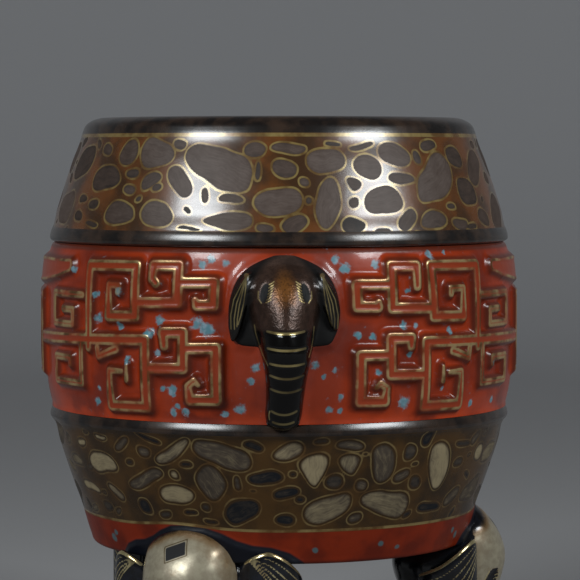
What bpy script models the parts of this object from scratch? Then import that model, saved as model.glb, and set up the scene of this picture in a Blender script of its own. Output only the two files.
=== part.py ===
"""Tripod incense burner of glazed porcelain, fired as one piece.

A hollow barrel with two ridges and a scroll in low relief round its belly stands on three
elephant heads, and two smaller elephant heads are its handles.

Units are metres and +Z is up. The origin is on the ground, on the barrel's axis. A bearing is
an angle round that axis: 0 faces -Y, where one handle is, and +90 faces +X, where one foot is.
"""

import math

import bmesh
import bpy
from mathutils import Matrix, Vector, geometry

# Heights, from the ground up.
GROUND_TO_UNDERSIDE = 0.0480
BASE_BAND_HEIGHT = 0.0089
LOWER_BAND_HEIGHT = 0.0303
RIDGE_HEIGHT = 0.0036
BELLY_HEIGHT = 0.0514
UPPER_BAND_HEIGHT = 0.0287
RIM_HEIGHT = 0.0060

# Radii of the outside.
BASE_RADIUS = 0.0582
RIDGE_RADIUS = 0.0720
RIDGE_BEAD = 0.0008
BELLY_RADIUS = 0.0733
RIM_RADIUS = 0.0616

# The hollow inside.
MOUTH_RADIUS = 0.0540
WALL_THICKNESS = 0.0050
FLOOR_THICKNESS = 0.0056
RIM_ROUND_RADIUS = 0.0034
LIP_ROUND_RADIUS = 0.0016
FLOOR_CORNER_RADIUS = 0.0070
BASE_ROUND_RADIUS = 0.0009

# The scroll.
SCROLL_HEIGHT = 0.0017
SCROLL_SLOPE = 0.0011
WIDE_BAR = 0.0049
MIDDLE_BAR = 0.0043
NARROW_BAR = 0.0037

# The heads.
HANDLE_TOP_BELOW_BELLY_TOP = 0.0024
TRUNK_TIP_OVER_RIDGE = 0.0010
FOREHEAD_OVER_BASE_BAND = 0.0020
HEAD_SINK = 0.0030
EAR_THICKNESS = 0.0024

HANDLE_BEARINGS = (0, 180)
FOOT_BEARINGS = (-30, 90, 210)

# How finely the solid is faceted.
COLUMNS = 44
HEAD_SIDES = 14
HEAD_SQUARENESS = 2.3
BELLY_ROWS = (0.0, 0.12, 0.5, 0.88, 1.0)
WELD_DISTANCE = 0.0002
SEAM_DISTANCE = 0.000001
EAR_ROWS = 3
ROUND_STEPS = 2

UNDERSIDE_Z = GROUND_TO_UNDERSIDE
LOWER_BAND_Z = UNDERSIDE_Z + BASE_BAND_HEIGHT
LOWER_RIDGE_Z = LOWER_BAND_Z + LOWER_BAND_HEIGHT
BELLY_Z = LOWER_RIDGE_Z + RIDGE_HEIGHT
UPPER_RIDGE_Z = BELLY_Z + BELLY_HEIGHT
UPPER_BAND_Z = UPPER_RIDGE_Z + RIDGE_HEIGHT
RIM_Z = UPPER_BAND_Z + UPPER_BAND_HEIGHT
TOP_Z = RIM_Z + RIM_HEIGHT
BELLY_EDGE_RADIUS = RIDGE_RADIUS - RIDGE_BEAD
BELLY_EDGE_BEND = 2.6
HANDLE_TOP_Z = UPPER_RIDGE_Z - HANDLE_TOP_BELOW_BELLY_TOP
HANDLE_HEIGHT = BELLY_HEIGHT - HANDLE_TOP_BELOW_BELLY_TOP + TRUNK_TIP_OVER_RIDGE
FOOT_HEAD_HEIGHT = LOWER_BAND_Z + FOREHEAD_OVER_BASE_BAND

# The scroll between a handle and the middle of a side, as lines of points. A point is a bearing in
# degrees, a share of the belly's height from its top, and the bar's width there.
SCROLL_LINES = {
    "upper hook": [(24.2, 0.21, WIDE_BAR), (16.6, 0.21, WIDE_BAR), (17.0, 0.335, WIDE_BAR), (21.4, 0.34, WIDE_BAR)],
    "upper small scroll": [
        (32.0, 0.22, MIDDLE_BAR),
        (32.0, 0.12, WIDE_BAR),
        (25.4, 0.12, WIDE_BAR),
        (25.8, 0.352, WIDE_BAR),
        (36.0, 0.355, WIDE_BAR),
    ],
    "upper great scroll": [
        (42.0, 0.29, NARROW_BAR),
        (42.0, 0.25, NARROW_BAR),
        (45.8, 0.25, NARROW_BAR),
        (45.8, 0.40, WIDE_BAR),
        (36.5, 0.40, WIDE_BAR),
        (35.6, 0.12, WIDE_BAR),
        (51.3, 0.115, WIDE_BAR),
        (51.6, 0.60, MIDDLE_BAR),
    ],
    "lower hook": [
        (23.8, 0.60, WIDE_BAR),
        (17.5, 0.60, WIDE_BAR),
        (17.6, 0.87, WIDE_BAR),
        (23.6, 0.87, WIDE_BAR),
        (23.9, 0.80, NARROW_BAR),
        (21.8, 0.78, NARROW_BAR),
    ],
    "lower small scroll": [
        (30.3, 0.54, MIDDLE_BAR),
        (30.3, 0.505, WIDE_BAR),
        (24.8, 0.505, WIDE_BAR),
        (25.1, 0.715, WIDE_BAR),
        (34.0, 0.715, WIDE_BAR),
    ],
    "lower great scroll": [
        (40.3, 0.785, NARROW_BAR),
        (40.3, 0.73, NARROW_BAR),
        (45.4, 0.73, NARROW_BAR),
        (45.4, 0.90, WIDE_BAR),
        (35.0, 0.90, WIDE_BAR),
        (35.0, 0.56, WIDE_BAR),
        (78.0, 0.565, WIDE_BAR),
    ],
    "barb": [(48.3, 0.58, NARROW_BAR), (48.3, 0.65, NARROW_BAR), (43.2, 0.625, NARROW_BAR)],
    "upper eye": [
        (53.0, 0.29, NARROW_BAR),
        (67.0, 0.29, NARROW_BAR),
        (67.0, 0.467, NARROW_BAR),
        (57.2, 0.467, NARROW_BAR),
        (57.2, 0.38, NARROW_BAR),
        (62.0, 0.38, NARROW_BAR),
    ],
    "lower eye": [
        (53.6, 0.57, NARROW_BAR),
        (53.6, 0.807, NARROW_BAR),
        (66.3, 0.807, NARROW_BAR),
        (66.3, 0.664, NARROW_BAR),
        (58.6, 0.664, NARROW_BAR),
        (58.6, 0.70, NARROW_BAR),
    ],
    "brow": [(60.0, 0.125, 0.0056), (66.0, 0.143, 0.0072), (76.0, 0.156, 0.0088), (90.0, 0.167, 0.0094)],
    "nose frame": [(90.0, 0.317, MIDDLE_BAR), (80.0, 0.317, MIDDLE_BAR), (80.0, 0.762, MIDDLE_BAR), (90.0, 0.762, MIDDLE_BAR)],
    "nose ridge": [(90.0, 0.317, WIDE_BAR), (90.0, 0.762, WIDE_BAR)],
}

# A handle's sections, from its crown to the tip of its trunk. Each is a share of the head's height
# from its top, then the half width and the reach from the wall, as shares of that height too.
HANDLE_SECTIONS = [
    (0.00, 0.045, 0.000),
    (0.04, 0.140, 0.085),
    (0.12, 0.208, 0.172),
    (0.24, 0.204, 0.248),
    (0.37, 0.184, 0.298),
    (0.47, 0.160, 0.308),
    (0.58, 0.128, 0.288),
    (0.70, 0.106, 0.250),
    (0.84, 0.096, 0.206),
    (0.94, 0.092, 0.192),
    (0.985, 0.074, 0.180),
    (1.00, 0.042, 0.150),
]

# A foot's sections, from its crown to the ground. Each is a share of the head's height from its
# top, then the half width, and how far the front and the back stand from the underside's edge,
# outwards, as shares of that height.
FOOT_SECTIONS = [
    (0.00, 0.035, 0.060, 0.000),
    (0.04, 0.150, 0.130, -0.010),
    (0.09, 0.225, 0.175, -0.030),
    (0.17, 0.275, 0.215, -0.180),
    (0.28, 0.302, 0.234, -0.310),
    (0.39, 0.295, 0.215, -0.330),
    (0.49, 0.262, 0.180, -0.300),
    (0.60, 0.198, 0.132, -0.230),
    (0.71, 0.160, 0.100, -0.175),
    (0.81, 0.146, 0.094, -0.150),
    (0.91, 0.150, 0.136, -0.145),
    (0.975, 0.152, 0.172, -0.145),
    (1.00, 0.138, 0.158, -0.130),
]

# A handle's ear, flat on the wall: its outline as (across, down) shares of the head's height, the
# outline's middle, and its crown as (share of the outline, reach from the wall).
HANDLE_EAR_OUTLINE = [
    (0.03, 0.06),
    (0.16, 0.015),
    (0.225, 0.05),
    (0.274, 0.10),
    (0.305, 0.18),
    (0.325, 0.30),
    (0.325, 0.41),
    (0.29, 0.475),
    (0.22, 0.51),
    (0.15, 0.51),
    (0.03, 0.45),
]
HANDLE_EAR_MIDDLE = (0.15, 0.28)
HANDLE_EAR_CROWN = [(1.0, -0.04), (1.0, 0.040), (0.9, 0.072), (0.5, 0.112)]

# A foot's ear: where the curl's middle is (outwards from the underside's edge, across) and its
# radius, as shares of the head's height, then its columns as (angle round the curl, top, bottom).
FOOT_EAR_CURL = (-0.232, 0.342, 0.198)
FOOT_EAR_COLUMNS = [
    (-35, 0.84, 0.60),
    (-5, 0.88, 0.50),
    (18, 0.915, 0.43),
    (42, 0.925, 0.385),
    (66, 0.885, 0.36),
    (90, 0.815, 0.36),
    (118, 0.80, 0.385),
    (140, 0.79, 0.44),
    (150, 0.77, 0.52),
]


def bearing_point(bearing, radius, z):
    """The point at this bearing in degrees, radius and height."""
    angle = math.radians(bearing)
    return Vector((radius * math.sin(angle), -radius * math.cos(angle), z))


def between(low, high, share):
    return low + (high - low) * share


def quarter_round(centre_radius, centre_z, radius, start, end):
    """Points of a profile's rounding, from start to end in degrees, 0 outwards and 90 upwards."""
    points = []
    for step in range(ROUND_STEPS + 1):
        angle = math.radians(between(start, end, step / ROUND_STEPS))
        points.append((centre_radius + radius * math.cos(angle), centre_z + radius * math.sin(angle)))
    return points


def belly_radius(z):
    """The belly's ground, a shallow swell between its two edges."""
    off_middle = abs(2 * (z - BELLY_Z) / BELLY_HEIGHT - 1)
    return between(BELLY_RADIUS, BELLY_EDGE_RADIUS, min(off_middle, 1) ** BELLY_EDGE_BEND)


def lower_cone_radius(z):
    return between(BASE_RADIUS, RIDGE_RADIUS, (z - UNDERSIDE_Z) / (LOWER_RIDGE_Z - UNDERSIDE_Z))


def above_belly():
    """The profile from the belly's upper edge over the rim and down inside to the floor's middle."""
    lip_z = TOP_Z - LIP_ROUND_RADIUS
    floor_z = UNDERSIDE_Z + FLOOR_THICKNESS
    corner_z = floor_z + FLOOR_CORNER_RADIUS
    inside_at_floor = lower_cone_radius(floor_z) - WALL_THICKNESS
    return (
        [
            (RIDGE_RADIUS - RIDGE_BEAD / 2, between(UPPER_RIDGE_Z, UPPER_BAND_Z, 0.25)),
            (RIDGE_RADIUS, between(UPPER_RIDGE_Z, UPPER_BAND_Z, 0.7)),
            (RIDGE_RADIUS - RIDGE_BEAD / 2, UPPER_BAND_Z),
            (RIM_RADIUS, RIM_Z),
        ]
        + quarter_round(RIM_RADIUS - RIM_ROUND_RADIUS, TOP_Z - RIM_ROUND_RADIUS, RIM_ROUND_RADIUS, 0, 90)
        + quarter_round(MOUTH_RADIUS + LIP_ROUND_RADIUS, lip_z, LIP_ROUND_RADIUS, 90, 180)
        + [
            (MOUTH_RADIUS, RIM_Z),
            (RIDGE_RADIUS - WALL_THICKNESS, UPPER_RIDGE_Z),
            (BELLY_RADIUS - WALL_THICKNESS, between(BELLY_Z, UPPER_RIDGE_Z, 0.5)),
            (RIDGE_RADIUS - WALL_THICKNESS, BELLY_Z),
            (lower_cone_radius(corner_z) - WALL_THICKNESS, corner_z),
            (inside_at_floor - 0.3 * FLOOR_CORNER_RADIUS, floor_z + 0.3 * FLOOR_CORNER_RADIUS),
            (inside_at_floor - FLOOR_CORNER_RADIUS, floor_z),
        ]
    )


def below_belly():
    """The profile from the belly's lower edge down to the underside's rim."""
    return [
        (RIDGE_RADIUS - RIDGE_BEAD / 4, between(LOWER_RIDGE_Z, BELLY_Z, 0.85)),
        (RIDGE_RADIUS, between(LOWER_RIDGE_Z, BELLY_Z, 0.45)),
        (lower_cone_radius(LOWER_RIDGE_Z), LOWER_RIDGE_Z),
        (lower_cone_radius(LOWER_BAND_Z), LOWER_BAND_Z),
        (lower_cone_radius(UNDERSIDE_Z + BASE_ROUND_RADIUS), UNDERSIDE_Z + BASE_ROUND_RADIUS),
        (BASE_RADIUS - BASE_ROUND_RADIUS, UNDERSIDE_Z),
    ]


def on_belly(bearing, share):
    """A scroll's point on the unrolled belly: x round it and y down from its top."""
    return Vector((math.radians(bearing) * BELLY_RADIUS, -share * BELLY_HEIGHT))


def scroll_segments():
    """Each straight stretch of the scroll as (start, end, half width there, half width here)."""
    segments = []
    for line in SCROLL_LINES.values():
        for (b0, s0, w0), (b1, s1, w1) in zip(line, line[1:]):
            segments.append((on_belly(b0, s0), on_belly(b1, s1), w0 / 2, w1 / 2))
    return segments


def scroll_rise(place, segments):
    """How far the scroll stands above the belly's ground at a point of the unrolled belly."""
    deepest = 0.0
    for start, end, half_start, half_end in segments:
        length = (end - start).length
        heading = (end - start) / length
        along = (place - start).dot(heading)
        beyond = max(-along, along - length)
        half = between(half_start, half_end, max(0.0, min(1.0, along / length)))
        deepest = max(deepest, half - max(abs(heading.cross(place - start)), beyond))
    return SCROLL_HEIGHT * min(1.0, deepest / SCROLL_SLOPE)


def offset_side(line, inset, side):
    """One side of a bar: its line moved sideways, mitred at the bends and square at the ends."""
    points = [on_belly(b, s) for b, s, _ in line]
    halves = [width / 2 - inset for _, _, width in line]
    headings = [(b - a).normalized() for a, b in zip(points, points[1:])]
    sides = [Vector((-h.y, h.x)) * side for h in headings]
    moved = [points[0] + (sides[0] - headings[0]) * halves[0]]
    for point, half, before, after in zip(points[1:], halves[1:], sides, sides[1:]):
        moved.append(point + (before + after) * (half / (1 + before.dot(after))))
    moved.append(points[-1] + (sides[-1] + headings[-1]) * halves[-1])
    return moved


def bar_outline(line, inset):
    """The closed outline of one bar of the scroll, drawn in by inset all round."""
    return offset_side(line, inset, 1) + offset_side(line, inset, -1)[::-1]


def belly_quarter():
    """The belly from one handle to the middle of a side, as flat points and triangles."""
    width, height = on_belly(90, 1)
    points, edges = [], []

    def add_line(places, closed):
        first = len(points)
        points.extend(places)
        count = len(places)
        edges.extend((first + k, first + (k + 1) % count) for k in range(count if closed else count - 1))

    for column in range(COLUMNS // 4 + 1):
        x = width * column / (COLUMNS // 4)
        add_line([Vector((x, height * row)) for row in BELLY_ROWS], False)
    for y in (0.0, height):
        add_line([Vector((0, y)), Vector((width, y))], False)
    for line in SCROLL_LINES.values():
        for inset in (0.0, SCROLL_SLOPE):
            outline = bar_outline(line, inset)
            kept = [Vector((min(max(p.x, 0.0), width), p.y)) for p in outline]
            add_line(kept, True)
    flat, _, triangles, *_ = geometry.delaunay_2d_cdt(points, edges, [], 0, WELD_DISTANCE, True)
    return flat, triangles


def add_belly(bm):
    """Rolls the belly's quarter round the barrel four times, mirrored at each seam."""
    flat, triangles = belly_quarter()
    segments = scroll_segments()
    placed = []
    for place in flat:
        z = UPPER_RIDGE_Z + place.y
        reach = belly_radius(z) + scroll_rise(place, segments)
        placed.append((math.degrees(place.x / BELLY_RADIUS), reach, z))
    for start, way in ((0, 1), (180, -1), (180, 1), (0, -1)):
        verts = [bm.verts.new(bearing_point(start + way * b, r, z)) for b, r, z in placed]
        for triangle in triangles:
            bm.faces.new([verts[k] for k in triangle[::way]])


def add_rings(bm, profile):
    """Turns a profile round the axis and returns its last ring."""
    rings = []
    for radius, z in profile:
        rings.append([bm.verts.new(bearing_point(360 * k / COLUMNS, radius, z)) for k in range(COLUMNS)])
    for upper, lower in zip(rings, rings[1:]):
        for k in range(COLUMNS):
            after = (k + 1) % COLUMNS
            bm.faces.new((upper[k], upper[after], lower[after], lower[k]))
    return rings[-1]


def mesh_from(bm, name):
    bmesh.ops.recalc_face_normals(bm, faces=bm.faces)
    mesh = bpy.data.meshes.new(name)
    bm.to_mesh(mesh)
    bm.free()
    return mesh


def build_barrel():
    """The hollow barrel with its rim, bands, ridges and scroll, as one closed mesh."""
    bm = bmesh.new()
    add_belly(bm)
    edge_above = (BELLY_EDGE_RADIUS, UPPER_RIDGE_Z)
    edge_below = (BELLY_EDGE_RADIUS, BELLY_Z)
    floor = add_rings(bm, [edge_above] + above_belly())
    underside = add_rings(bm, [edge_below] + below_belly())
    bm.faces.new(floor)
    bm.faces.new(underside)
    bmesh.ops.remove_doubles(bm, verts=bm.verts, dist=SEAM_DISTANCE)
    return mesh_from(bm, "barrel")


def head_ring(half_width, front, back):
    """One level section of a head, as (sideways, outwards) pairs: an ellipse, a little squared."""
    middle, half = (front + back) / 2, (front - back) / 2
    ring = []
    for k in range(HEAD_SIDES):
        angle = 2 * math.pi * k / HEAD_SIDES
        sine, cosine = math.sin(angle), math.cos(angle)
        across = math.copysign(abs(sine) ** (2 / HEAD_SQUARENESS), sine)
        out = math.copysign(abs(cosine) ** (2 / HEAD_SQUARENESS), cosine)
        ring.append((half_width * across, middle + half * out))
    return ring


def loft(rings):
    """A closed mesh through rings of points, each end closed on the middle of its ring."""
    bm = bmesh.new()
    levels = [[bm.verts.new(point) for point in ring] for ring in rings]
    count = len(levels[0])
    for upper, lower in zip(levels, levels[1:]):
        for k in range(count):
            after = (k + 1) % count
            bm.faces.new((upper[k], upper[after], lower[after], lower[k]))
    for end, ring in ((levels[0], rings[0]), (levels[-1], rings[-1])):
        middle = bm.verts.new(sum(ring, Vector()) / count)
        for k in range(count):
            bm.faces.new((end[k], end[(k + 1) % count], middle))
    return bm


def facing(bearing):
    """Turns a piece that is built facing -Y to its bearing."""
    return Matrix.Rotation(math.radians(bearing), 4, "Z")


def handle_head():
    """A handle's head and trunk, facing -Y, sunk a little into the wall."""
    rings = []
    for share, half_width, reach in HANDLE_SECTIONS:
        z = HANDLE_TOP_Z - share * HANDLE_HEIGHT
        wall = belly_radius(z)
        ring = head_ring(half_width * HANDLE_HEIGHT, wall + reach * HANDLE_HEIGHT, wall - HEAD_SINK)
        rings.append([Vector((across, -out, z)) for across, out in ring])
    return loft(rings)


def handle_ear(side):
    """A handle's ear: a crowned leaf that lies on the wall beside the head."""
    rings = []
    for size, reach in HANDLE_EAR_CROWN:
        ring = []
        for point in HANDLE_EAR_OUTLINE:
            share_across, share_down = (between(m, p, size) for m, p in zip(HANDLE_EAR_MIDDLE, point))
            across = share_across * HANDLE_HEIGHT
            z = HANDLE_TOP_Z - share_down * HANDLE_HEIGHT
            wall = math.sqrt(belly_radius(z) ** 2 - across**2)
            ring.append(Vector((side * across, -(wall + reach * HANDLE_HEIGHT), z)))
        rings.append(ring)
    return loft(rings)


def foot_head():
    """A foot's head and trunk, facing -Y, with its flat sole on the ground."""
    rings = []
    for share, half_width, front, back in FOOT_SECTIONS:
        ring = head_ring(
            half_width * FOOT_HEAD_HEIGHT,
            BASE_RADIUS + front * FOOT_HEAD_HEIGHT,
            BASE_RADIUS + back * FOOT_HEAD_HEIGHT,
        )
        z = (1 - share) * FOOT_HEAD_HEIGHT
        rings.append([Vector((across, -out, z)) for across, out in ring])
    return loft(rings)


def foot_ear(side):
    """A foot's ear: a flap that starts inside the head and curls back round its side."""
    middle_out, middle_across, curl_radius = (share * FOOT_HEAD_HEIGHT for share in FOOT_EAR_CURL)
    rings = []
    for angle, top, bottom in FOOT_EAR_COLUMNS:
        sine, cosine = math.sin(math.radians(angle)), math.cos(math.radians(angle))
        skins = []
        for radius in (curl_radius + EAR_THICKNESS / 2, curl_radius - EAR_THICKNESS / 2):
            across, out = middle_across + radius * sine, BASE_RADIUS + middle_out + radius * cosine
            heights = [between(top, bottom, row / EAR_ROWS) * FOOT_HEAD_HEIGHT for row in range(EAR_ROWS + 1)]
            skins.append([Vector((side * across, -out, z)) for z in heights])
        rings.append(skins[0] + skins[1][::-1])
    return loft(rings)


def make_object(name, mesh):
    obj = bpy.data.objects.new(name, mesh)
    bpy.context.scene.collection.objects.link(obj)
    return obj


def unite(body, mesh, bearing=0):
    """Unites a mesh, turned to its bearing, with the body."""
    helper = make_object(mesh.name, mesh)
    helper.matrix_world = facing(bearing)
    helper.hide_render = True
    helper.display_type = "WIRE"
    union = body.modifiers.new(mesh.name, "BOOLEAN")
    union.operation = "UNION"
    union.use_self = True
    union.object = helper
    graph = bpy.context.evaluated_depsgraph_get()
    united = bpy.data.meshes.new_from_object(body.evaluated_get(graph))
    body.modifiers.clear()
    body.data = united
    bpy.data.objects.remove(helper)


def build_head(name, head, ear):
    """An elephant's head with its two ears, as one closed mesh facing -Y."""
    whole = make_object(name, mesh_from(head(), name))
    for side in (-1, 1):
        unite(whole, mesh_from(ear(side), name + "_ear"))
    mesh = whole.data
    bpy.data.objects.remove(whole)
    return mesh


def glaze(name, colour, roughness, metallic):
    material = bpy.data.materials.new(name)
    material.diffuse_color = (*colour, 1)
    material.use_nodes = True
    shader = material.node_tree.nodes["Principled BSDF"]
    shader.inputs["Base Color"].default_value = (*colour, 1)
    shader.inputs["Roughness"].default_value = roughness
    shader.inputs["Metallic"].default_value = metallic
    return material


def colour_faces(body):
    """Gives the belly and the base band the red glaze, and everything else the bronze one."""
    body.data.materials.clear()
    body.data.materials.append(glaze("bronze_glaze", (0.075, 0.045, 0.025), 0.25, 0.3))
    body.data.materials.append(glaze("coral_red_glaze", (0.42, 0.05, 0.02), 0.25, 0.0))
    for face in body.data.polygons:
        x, y, z = face.center
        radius = math.hypot(x, y)
        on_wall = BASE_RADIUS - BASE_ROUND_RADIUS < radius < BELLY_RADIUS + 1.05 * SCROLL_HEIGHT
        red = BELLY_Z < z < UPPER_RIDGE_Z or UNDERSIDE_Z < z < LOWER_BAND_Z
        face.material_index = 1 if on_wall and red else 0


def main():
    for obj in list(bpy.data.objects):
        bpy.data.objects.remove(obj)
    body = make_object("incense_burner", build_barrel())
    for bearing in HANDLE_BEARINGS:
        unite(body, build_head("handle", handle_head, handle_ear), bearing)
    for bearing in FOOT_BEARINGS:
        unite(body, build_head("foot", foot_head, foot_ear), bearing)
    colour_faces(body)
    body.data.shade_smooth()
    body.data.set_sharp_from_angle(angle=math.radians(35))


main()
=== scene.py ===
"""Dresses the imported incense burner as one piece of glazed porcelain.

A turned body carries a raised scroll on coral red, two bands of painted pebbles and a dark rim. Elephant
heads are its handles and its feet. Lengths are in millimetres and meshes are made in metres. A bearing is
an angle in degrees round the barrel's axis: 0 faces -Y and +90 faces +X.
"""

import logging
import math
import random
from dataclasses import dataclass
from enum import Enum
from typing import Dict, List, Optional, Sequence, Tuple, Union

import bpy
import numpy as np
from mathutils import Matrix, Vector


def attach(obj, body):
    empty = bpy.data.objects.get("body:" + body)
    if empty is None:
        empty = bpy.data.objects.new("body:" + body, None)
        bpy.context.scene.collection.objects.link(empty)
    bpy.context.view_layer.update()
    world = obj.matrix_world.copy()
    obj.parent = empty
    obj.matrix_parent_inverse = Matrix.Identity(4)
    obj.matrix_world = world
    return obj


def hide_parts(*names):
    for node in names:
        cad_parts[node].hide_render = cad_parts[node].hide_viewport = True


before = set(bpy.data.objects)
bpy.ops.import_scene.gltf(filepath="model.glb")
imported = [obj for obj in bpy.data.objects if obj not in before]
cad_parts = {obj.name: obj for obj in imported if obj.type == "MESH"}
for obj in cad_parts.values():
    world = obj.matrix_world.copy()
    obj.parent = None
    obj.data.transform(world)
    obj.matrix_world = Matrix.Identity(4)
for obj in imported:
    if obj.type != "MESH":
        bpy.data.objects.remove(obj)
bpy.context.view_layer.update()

MM = 0.001
NODE = "incense_burner"
BODY = "root"
LOG = logging.getLogger("incense_burner")

# A distance in millimetres that lies off every line and every gathered glaze.
FAR = 9.0

Colour = Tuple[float, float, float]
Point = Tuple[float, float]


class Half(Enum):
    """A side of a head, as the sign of the across coordinate."""

    LEFT = -1
    RIGHT = 1


def smoothstep(values: np.ndarray, low: float, high: float) -> np.ndarray:
    """Eases from 0 at low to 1 at high.

    Args:
        values: The values to ease.
        low: Where the result is 0.
        high: Where the result is 1.

    Returns:
        The eased values.
    """
    share = np.clip((values - low) / (high - low), 0, 1)
    return share * share * (3 - 2 * share)


def through_points(table: Sequence[Sequence[float]], positions: np.ndarray) -> np.ndarray:
    """Reads a table of stations at positions, on a smooth curve through its rows.

    Args:
        table: Rows of a position and then any number of values, in rising order of position.
        positions: Where to read the table.

    Returns:
        One column for each value of the table.
    """
    rows = np.array(table, dtype=float)
    at, values = rows[:, 0], rows[:, 1:]
    slopes = np.gradient(values, at, axis=0)
    k = np.clip(np.searchsorted(at, positions) - 1, 0, len(at) - 2)
    step = (at[k + 1] - at[k])[:, None]
    t = ((positions - at[k]) / step[:, 0])[:, None]
    start, end = values[k], values[k + 1]
    return (
        (2 * t**3 - 3 * t**2 + 1) * start
        + (t**3 - 2 * t**2 + t) * step * slopes[k]
        + (3 * t**2 - 2 * t**3) * end
        + (t**3 - t**2) * step * slopes[k + 1]
    )


def distance_to_line(places: np.ndarray, line: Sequence[Sequence[float]]) -> np.ndarray:
    """The distance from each place to a line of points.

    Args:
        places: The places, one row each, flat or in space.
        line: The line's points, with as many coordinates as the places.

    Returns:
        The distances.
    """
    nearest = np.full(len(places), np.inf)
    points = np.array(line, dtype=float)
    for start, end in zip(points, points[1:]):
        heading = end - start
        share = np.clip((places - start) @ heading / max(heading @ heading, 1e-12), 0, 1)
        offset = places - start - share[:, None] * heading
        nearest = np.minimum(nearest, np.sqrt((offset**2).sum(axis=1)))
    return nearest


def nearest_line(places: np.ndarray, lines: Sequence[Sequence[Sequence[float]]]) -> np.ndarray:
    """The distance from each place to the nearest of several lines of points."""
    return np.min([distance_to_line(places, line) for line in lines], axis=0)


def inside_outline(places: np.ndarray, outline: Sequence[Point]) -> np.ndarray:
    """Tells which flat places lie inside a closed outline.

    Args:
        places: The places, one row each.
        outline: The outline's corners, the last joined to the first.

    Returns:
        True inside.
    """
    x, y = places[:, 0], places[:, 1]
    inside = np.zeros(len(places), dtype=bool)
    for (x0, y0), (x1, y1) in zip(outline, list(outline[1:]) + [outline[0]]):
        if y0 != y1:
            inside ^= ((y0 > y) != (y1 > y)) & (x < (x1 - x0) * (y - y0) / (y1 - y0) + x0)
    return inside


def outside_distance(places: np.ndarray, outline: Sequence[Point]) -> np.ndarray:
    """The distance outside a closed flat outline, negative inside it."""
    distance = distance_to_line(places, list(outline) + [outline[0]])
    return np.where(inside_outline(places, outline), -distance, distance)


def mirrored(half_outline: Sequence[Point]) -> List[Point]:
    """Closes the right half of an outline, listed from top to bottom, with its mirror image."""
    return list(half_outline) + [(-x, y) for x, y in reversed(half_outline)]


def smooth_curve(points: Sequence[Sequence[float]], spacing: float) -> np.ndarray:
    """Runs a smooth curve through points.

    Args:
        points: The points.
        spacing: How far apart the curve's own points are.

    Returns:
        The curve's points, one row each.
    """
    known = np.array(points, dtype=float)
    along = np.concatenate(([0.0], np.cumsum(np.linalg.norm(np.diff(known, axis=0), axis=1))))
    count = max(2, int(round(along[-1] / spacing)) + 1)
    return through_points(np.column_stack((along, known)), np.linspace(0, along[-1], count))


def from_bearing(bearing: np.ndarray, centre: float) -> np.ndarray:
    """The signed angle in degrees from a centre's bearing."""
    return (bearing - centre + 180) % 360 - 180


def make_mesh(
    name: str, points: np.ndarray, faces: np.ndarray, values: Optional[Dict[str, np.ndarray]] = None
) -> bpy.types.Mesh:
    """Makes a smooth mesh from arrays.

    Args:
        name: The mesh's name.
        points: Points in millimetres, one row each.
        faces: Corner indices, one row for each face.
        values: Named values at the points, for the shaders.

    Returns:
        The mesh, in metres.
    """
    mesh = bpy.data.meshes.new(name)
    mesh.from_pydata((points * MM).tolist(), [], faces.tolist())
    mesh.validate()
    store_values(mesh, values or {})
    mesh.shade_smooth()
    return mesh


def store_values(mesh: bpy.types.Mesh, values: Dict[str, np.ndarray]) -> None:
    """Stores named values at a mesh's points.

    Args:
        mesh: The mesh.
        values: The values, by name.
    """
    for name, column in values.items():
        attribute = mesh.attributes.new(name, "FLOAT", "POINT")
        attribute.data.foreach_set("value", np.ascontiguousarray(column, dtype=np.float32).ravel())


def mesh_points(mesh: bpy.types.Mesh) -> np.ndarray:
    """A mesh's points in millimetres, one row each.

    Returns:
        The points.
    """
    flat = np.empty(len(mesh.vertices) * 3)
    mesh.vertices.foreach_get("co", flat)
    return flat.reshape(-1, 3) / MM


def sheet_faces(rows: int, columns: int) -> np.ndarray:
    """The quads of a grid of points whose rows close on themselves.

    Args:
        rows: Rows of points.
        columns: Points in a row.

    Returns:
        Corner indices, four for each quad.
    """
    row, column = np.meshgrid(np.arange(rows - 1) * columns, np.arange(columns), indexing="ij")
    after = (column + 1) % columns
    corners = (row + column, row + after, row + columns + after, row + columns + column)
    return np.stack([c.ravel() for c in corners], axis=1)


def around_axis(bearing: np.ndarray, radius: np.ndarray, z: np.ndarray) -> np.ndarray:
    """Points at these bearings, radii and heights."""
    angle = np.radians(bearing)
    return np.column_stack((radius * np.sin(angle), -radius * np.cos(angle), z))


def turned(profile: np.ndarray, columns: int) -> Tuple[np.ndarray, np.ndarray, np.ndarray]:
    """Turns a profile round the axis.

    Args:
        profile: Radius and height, one row each.
        columns: How many points go round.

    Returns:
        Points, and their bearings and heights.
    """
    bearing = np.tile(np.arange(columns) * 360 / columns, len(profile))
    radius = np.repeat(profile[:, 0], columns)
    z = np.repeat(profile[:, 1], columns)
    return around_axis(bearing, radius, z), bearing, z


def gathered(gap: np.ndarray, reach: float, rise: float) -> np.ndarray:
    """How thick glaze gathers at a gap from what it runs against.

    Args:
        gap: The distance to it, below 0 inside it.
        reach: How far the gathered glaze reaches.
        rise: Its thickness at no gap.

    Returns:
        The thickness.
    """
    return rise * (1 - np.clip(gap / reach, 0, 1)) ** 2


def add_piece(
    name: str, mesh: bpy.types.Mesh, material: bpy.types.Material, bearing: float = 0
) -> bpy.types.Object:
    """Places a visible piece of the censer.

    Args:
        name: The piece's name.
        mesh: Its mesh, facing -Y.
        material: Its finish.
        bearing: Where it faces.

    Returns:
        The piece.
    """
    piece = bpy.data.objects.new(name, mesh)
    bpy.context.scene.collection.objects.link(piece)
    piece.rotation_euler.z = math.radians(bearing)
    if not mesh.materials:
        mesh.materials.append(material)
    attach(piece, BODY)
    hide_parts(NODE)
    LOG.info("%s: %d points, %d faces", name, len(mesh.vertices), len(mesh.polygons))
    return piece


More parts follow.
